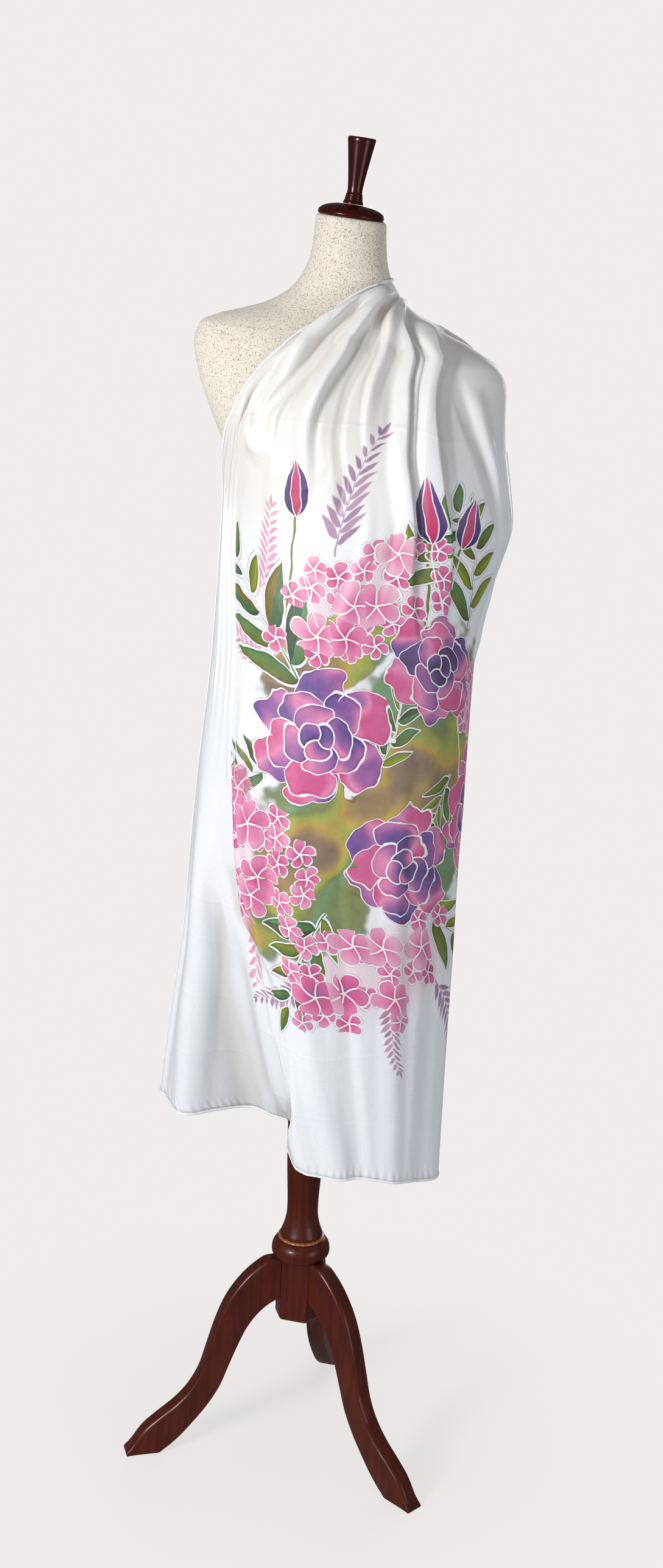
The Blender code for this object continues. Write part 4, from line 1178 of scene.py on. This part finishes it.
def weaveGroup():
    # over and under threads: the product of two sine waves, with thread-to-thread unevenness
    tree, (vector, across, up, uneven) = newGroup("weave", Vector=None, Across=1500.0, Up=1500.0, Uneven=0.5)
    x, y, _ = parts(vector)
    crossed = maths("SINE", x * across) * maths("SINE", y * up)
    long, short = 26.0, 900.0
    threads = (noise(joined(x * long, y * short), 1.0) + noise(joined(x * short, y * long), 1.0)) * 0.5
    return closeGroup(tree, Height=fit(crossed, 0.25, (threads - 0.5) * uneven + 0.5), Thread=threads)


def silkMaterial(name, weave, painted, look):
    # white satin: warmer where it lies on the form, with fine threads, pressed folds and puckered hems, and
    # painted shade darkening the hollows of its folds
    made, tree, inputs = newMaterial(name)
    cloth = source(tree, "UVMap", 0, uv_map="cloth")
    near, dip = (source(tree, "Attribute", "Fac", attribute_name=label) for label in ("backing", "hollow"))
    cloudy = noise(cloth, 9.0)
    colour = mix(step(cloudy, 0.35, 0.65), look["white"], look["cool"])
    colour = mix(near * look["showsThrough"], colour, look["warm"])
    # painted shade: the colour darkens towards the shaded colour where the surface lies in a fold's hollow
    colour = mix(step(dip, 0.0002, 0.0026, 0.0, 0.75), colour, look["shaded"])
    speckle = noise(vec("MULTIPLY", cloth, (420.0, 640.0, 1.0)), 1.0, 2.0, 0.6)
    colour = mix(step(speckle, 0.42, 0.62, 0.26, 0.0), colour, look["thin"])
    threads = useGroup(weave, Vector=cloth, Across=look["threads"], Up=look["threads"], Uneven=0.9)
    colour = mix(step(threads["Thread"], 0.38, 0.60, 0.22, 0.0), colour, look["thin"])
    rough = fit(cloudy, 0.10, look["roughness"] - 0.05)
    if painted is not None:
        design = useGroup(painted, Vector=cloth)
        colour = mix(1.0, colour, design["Colour"], "MULTIPLY")
        rough = fit(design["Painted"], 0.05, rough)
    # heights in metres: handling creases, pressed folds, the hem's puckers, and the threads over them
    x, y, _ = parts(cloth)
    height = (noise(vec("MULTIPLY", cloth, (1.0, 0.55, 1.0)), 34.0, 3.0, 0.5, 0.4) - 0.5) * look["handling"]
    for level, slope, ridge in look["pressed"]:
        path = fit(cloudy - 0.5, 0.035, fit(x, slope, level) - y)
        height = height + step(abs(path), 0.0, 0.0045, ridge, 0.0)
    pull = maths("SINE", fit(cloudy, 14.0, x * 560.0))
    height = fit(pull, step(y, 0.002, 0.022, look["pucker"], 0.0), height)
    feedAll({
        "Base Color": colour, "Roughness": fit(speckle, 0.14, rough), "Specular IOR Level": look["specular"],
        "Sheen Weight": look["sheen"], "Sheen Roughness": 0.35,
        "Normal": bumpOf(threads["Height"], look["threadHeight"], 1.0, bumpOf(height, 1.0, 1.0)),
    }, inputs)
    return made


def linenMaterial(weave, look):
    # unbleached linen: coarse threads with slubs, broad unevenness and dark flecks
    made, tree, inputs = newMaterial("linen_cover")
    spot = source(tree, "TexCoord", "Object")
    x, y, z = parts(spot)
    wrapped = joined(maths("ARCTAN2", x, y * -1.0) * 0.11, z)  # metres round the form and up it
    threads = useGroup(weave, Vector=wrapped, Across=look["threads"], Up=look["threads"], Uneven=1.6)
    base = mix(step(noise(spot, 7.0, 3.0), 0.35, 0.65), look["pale"], look["deep"])
    base = mix(step(threads["Thread"], 0.38, 0.62, 0.45, 0.0), base, look["slub"])
    base = mix(step(noise(spot, 560.0, 2.0, 0.6), 0.54, 0.66, 0.0, 0.66), base, look["fleck"])
    feedAll({
        "Base Color": base, "Roughness": look["roughness"], "Specular IOR Level": look["specular"],
        "Sheen Weight": look["sheen"], "Normal": bumpOf(threads["Height"], 0.0004, 0.8),
    }, inputs)
    return made


def grainGroup():
    # growth rings seen along the piece: a wave of the distance from a bent axis, with fine pores
    tree, (vector, rings, pores) = newGroup("wood_grain", Vector=None, Rings=60.0, Pores=1.0)
    long = vec("MULTIPLY", vector, (1.0, 1.0, 0.10))
    x, y, _ = parts(long)
    away = fit(noise(long, 16.0, 3.0, 0.55), 0.14, fit(y, 0.35, x))
    figure = fit(maths("SINE", away * (rings * 6.2832)), 0.5, 0.5)
    fine = noise(vec("MULTIPLY", vector, (1.0, 1.0, 0.05)), 900.0, 2.0, 0.6)
    return closeGroup(tree, Figure=figure, Pore=step(fine, 0.56, 0.70) * pores, Broad=noise(vector, 12.0))


def woodMaterial(name, grain, look):
    # rings between two tones, darker in broad clouds and in the pores, under a coat of varnish
    made, tree, inputs = newMaterial(name)
    spot = source(tree, "TexCoord", "Object")
    wood = useGroup(grain, Vector=spot, Rings=look["rings"], Pores=look["pores"])
    base = mix(wood["Figure"], look["dark"], look["light"])
    base = mix(step(wood["Broad"], 0.35, 0.70, 0.0, 0.45), base, look["deep"])
    feedAll({
        "Base Color": mix(wood["Pore"] * 0.6, base, look["deep"]),
        "Roughness": fit(wood["Broad"], 0.14, look["roughness"] - 0.07), "Specular IOR Level": 0.25,
        "Coat Weight": look["coat"], "Coat Roughness": look["coatRoughness"],
        "Normal": bumpOf(wood["Pore"] * -1.0, 0.00003, 0.5),
    }, inputs)
    return made


weave, petals, sprig, grain = weaveGroup(), petalGroup(), sprigGroup(), grainGroup()
design = paintingGroup(petals, sprig, flowerGroup(petals))
silk = silkMaterial("silk_satin", weave, design, silkLook)
silkHem = silkMaterial("silk_hem", weave, None, hemLook)
capWood, standWood, beadWood = (
    woodMaterial(name, grain, woods[name]) for name in ("dark_mahogany", "red_mahogany", "pale_bead_wood")
)
print("materials made")

makeForm(linenMaterial(weave, linenLook))
print("dress form made")

tilt = math.atan(form["lean"][-1, 1])
for name, node, wood, slot, pose in (
    ("neck_disc", "neck_cap", capWood, "cap_wood", (tilt, form["neckTop"])),
    ("neck_finial", "finial", capWood, "cap_wood", (tilt, form["neckTop"])),
    ("stand_column", "column", standWood, "stand_wood", ()),
    ("stand_bead", "bead_ring", beadWood, "bead_wood", ()),
    ("stand_collar", "collar", standWood, "stand_wood", ()),
):
    closedLoft(name, turnedRings(stand[node], *pose), wood, node, 60)
makeHub(standWood)
for node, degrees in stand["legs"].items():
    makeLeg(node, degrees, standWood)
print("stand made")

silkScarf, scarfPoints, scarfPlaces = makeScarf(silk)
rolledHem = makeHem(scarfPoints, scarfPlaces, silkHem)
print("scarf made")

# Floor, light and camera

studio = {
    "paper": (0.871, 0.847, 0.839), "floorGlow": (0.54, 0.55, 0.57), "floorRough": 0.9,
    "floorHeight": -0.0005,
    "roomLow": (0.38, 0.38, 0.395), "roomHigh": (0.36, 0.36, 0.375), "mirrored": (0.08, 0.08, 0.083),
    "cameraAt": (0.00389, -2.66249, 1.72597), "sensor": 36,
    "pitch": 16.0622, "yaw": 0.22834, "roll": 2.87995, "lens": 36 * 3457.5 / 2576,
    # place, what it faces, width and height, watts, colour
    "lights": {
        "key": ((-2.35, -2.8, 1.85), (0, 0, 1.0), (0.9, 1.1), 118, (1, 1, 1)),
        "fill": ((2.6, -2.4, 1.0), (0, 0, 0.9), (1.6, 1.6), 20, (0.93, 0.96, 1.0)),
        "rim": ((0.8, 2.8, 1.5), (0, 0, 1.0), (1.6, 1.4), 30, (1, 1, 1)),
    },
}


def seenAs(tree, room):
    # the room's light, with a dark mirror image of it, and plain paper for the camera
    room = mix(source(tree, "LightPath", "Is Glossy Ray"), room, studio["mirrored"])
    return mix(source(tree, "LightPath", "Is Camera Ray"), room, studio["paper"])


def makeFloor():
    # rings of growing radius about the stand, of paper that also glows evenly further out
    radius = np.array([0.02, 0.5, 1.0, 1.6, 2.4, 4.0, 8.0, 20.0, 60.0])
    sides = 64
    turn, height = circle(sides), np.full((len(radius), sides), studio["floorHeight"])
    rings = np.stack([radius[:, None] * np.cos(turn), radius[:, None] * np.sin(turn), height], axis=-1)
    mesh = bpy.data.meshes.new("floor")
    faces = gridFaces(len(radius), sides, closed=True).tolist() + [list(range(sides))]
    mesh.from_pydata(rings.reshape(-1, 3).tolist(), [], faces)
    floor = bpy.data.objects.new("floor", mesh)
    bpy.context.scene.collection.objects.link(floor)
    made, tree, inputs = newMaterial("paper_floor")
    feedAll({"Base Color": studio["paper"], "Roughness": studio["floorRough"]}, inputs)
    glow = addNode(tree, "Emission", {"Color": seenAs(tree, studio["floorGlow"])})
    away = step(vec("LENGTH", source(tree, "TexCoord", "Object")), 0.05, 0.62, 0.72, 1.0)
    shaders = [Signal(node.outputs[0]) for node in (tree.nodes["Principled BSDF"], glow)]
    both = addNode(tree, "MixShader", enumerate([away, *shaders]))
    feed(Signal(both.outputs[0]), tree.nodes["Material Output"].inputs["Surface"])
    mesh.materials.append(made)


def makeLight(name, place, target, size, power, colour):
    lamp = bpy.data.lights.new(name, "AREA")
    lamp.shape = "RECTANGLE"
    lamp.size, lamp.size_y = size
    lamp.energy, lamp.color = power, colour
    holder = bpy.data.objects.new(name, lamp)
    holder.location = place
    holder.rotation_euler = (Vector(target) - Vector(place)).to_track_quat("-Z", "Y").to_euler()
    bpy.context.scene.collection.objects.link(holder)


def makeWorld():
    # an even grey room, a little different above and below
    world = bpy.data.worlds.new("studio")
    bpy.context.scene.world = world
    world.use_nodes = True
    tree = world.node_tree
    rise = step(parts(source(tree, "TexCoord", "Generated"))[2], -0.3, 0.8)
    room = mix(rise, studio["roomLow"], studio["roomHigh"])
    feed(seenAs(tree, room), tree.nodes["Background"].inputs["Color"])


def makeCamera():
    # turned by yaw and pitch from looking along +Y, then rolled about the way that it looks
    pitch, yaw, roll = (math.radians(studio[key]) for key in ("pitch", "yaw", "roll"))
    ahead = np.array([math.sin(yaw) * math.cos(pitch), math.cos(yaw) * math.cos(pitch), -math.sin(pitch)])
    right = np.array([math.cos(yaw), -math.sin(yaw), 0.0])
    up = np.cross(right, ahead)
    matrix = np.eye(4)
    matrix[:3, 0] = math.cos(roll) * right + math.sin(roll) * up
    matrix[:3, 1] = -math.sin(roll) * right + math.cos(roll) * up
    matrix[:3, 2], matrix[:3, 3] = -ahead, studio["cameraAt"]
    data = bpy.data.cameras.new("camera")
    data.lens, data.sensor_width = studio["lens"], studio["sensor"]
    camera = bpy.data.objects.new("camera", data)
    camera.matrix_world = Matrix(matrix.tolist())
    bpy.context.scene.collection.objects.link(camera)
    bpy.context.scene.camera = camera


makeFloor()
makeWorld()
for name, values in studio["lights"].items():
    makeLight(name, *values)
makeCamera()
bpy.context.scene.view_settings.view_transform = "Standard"
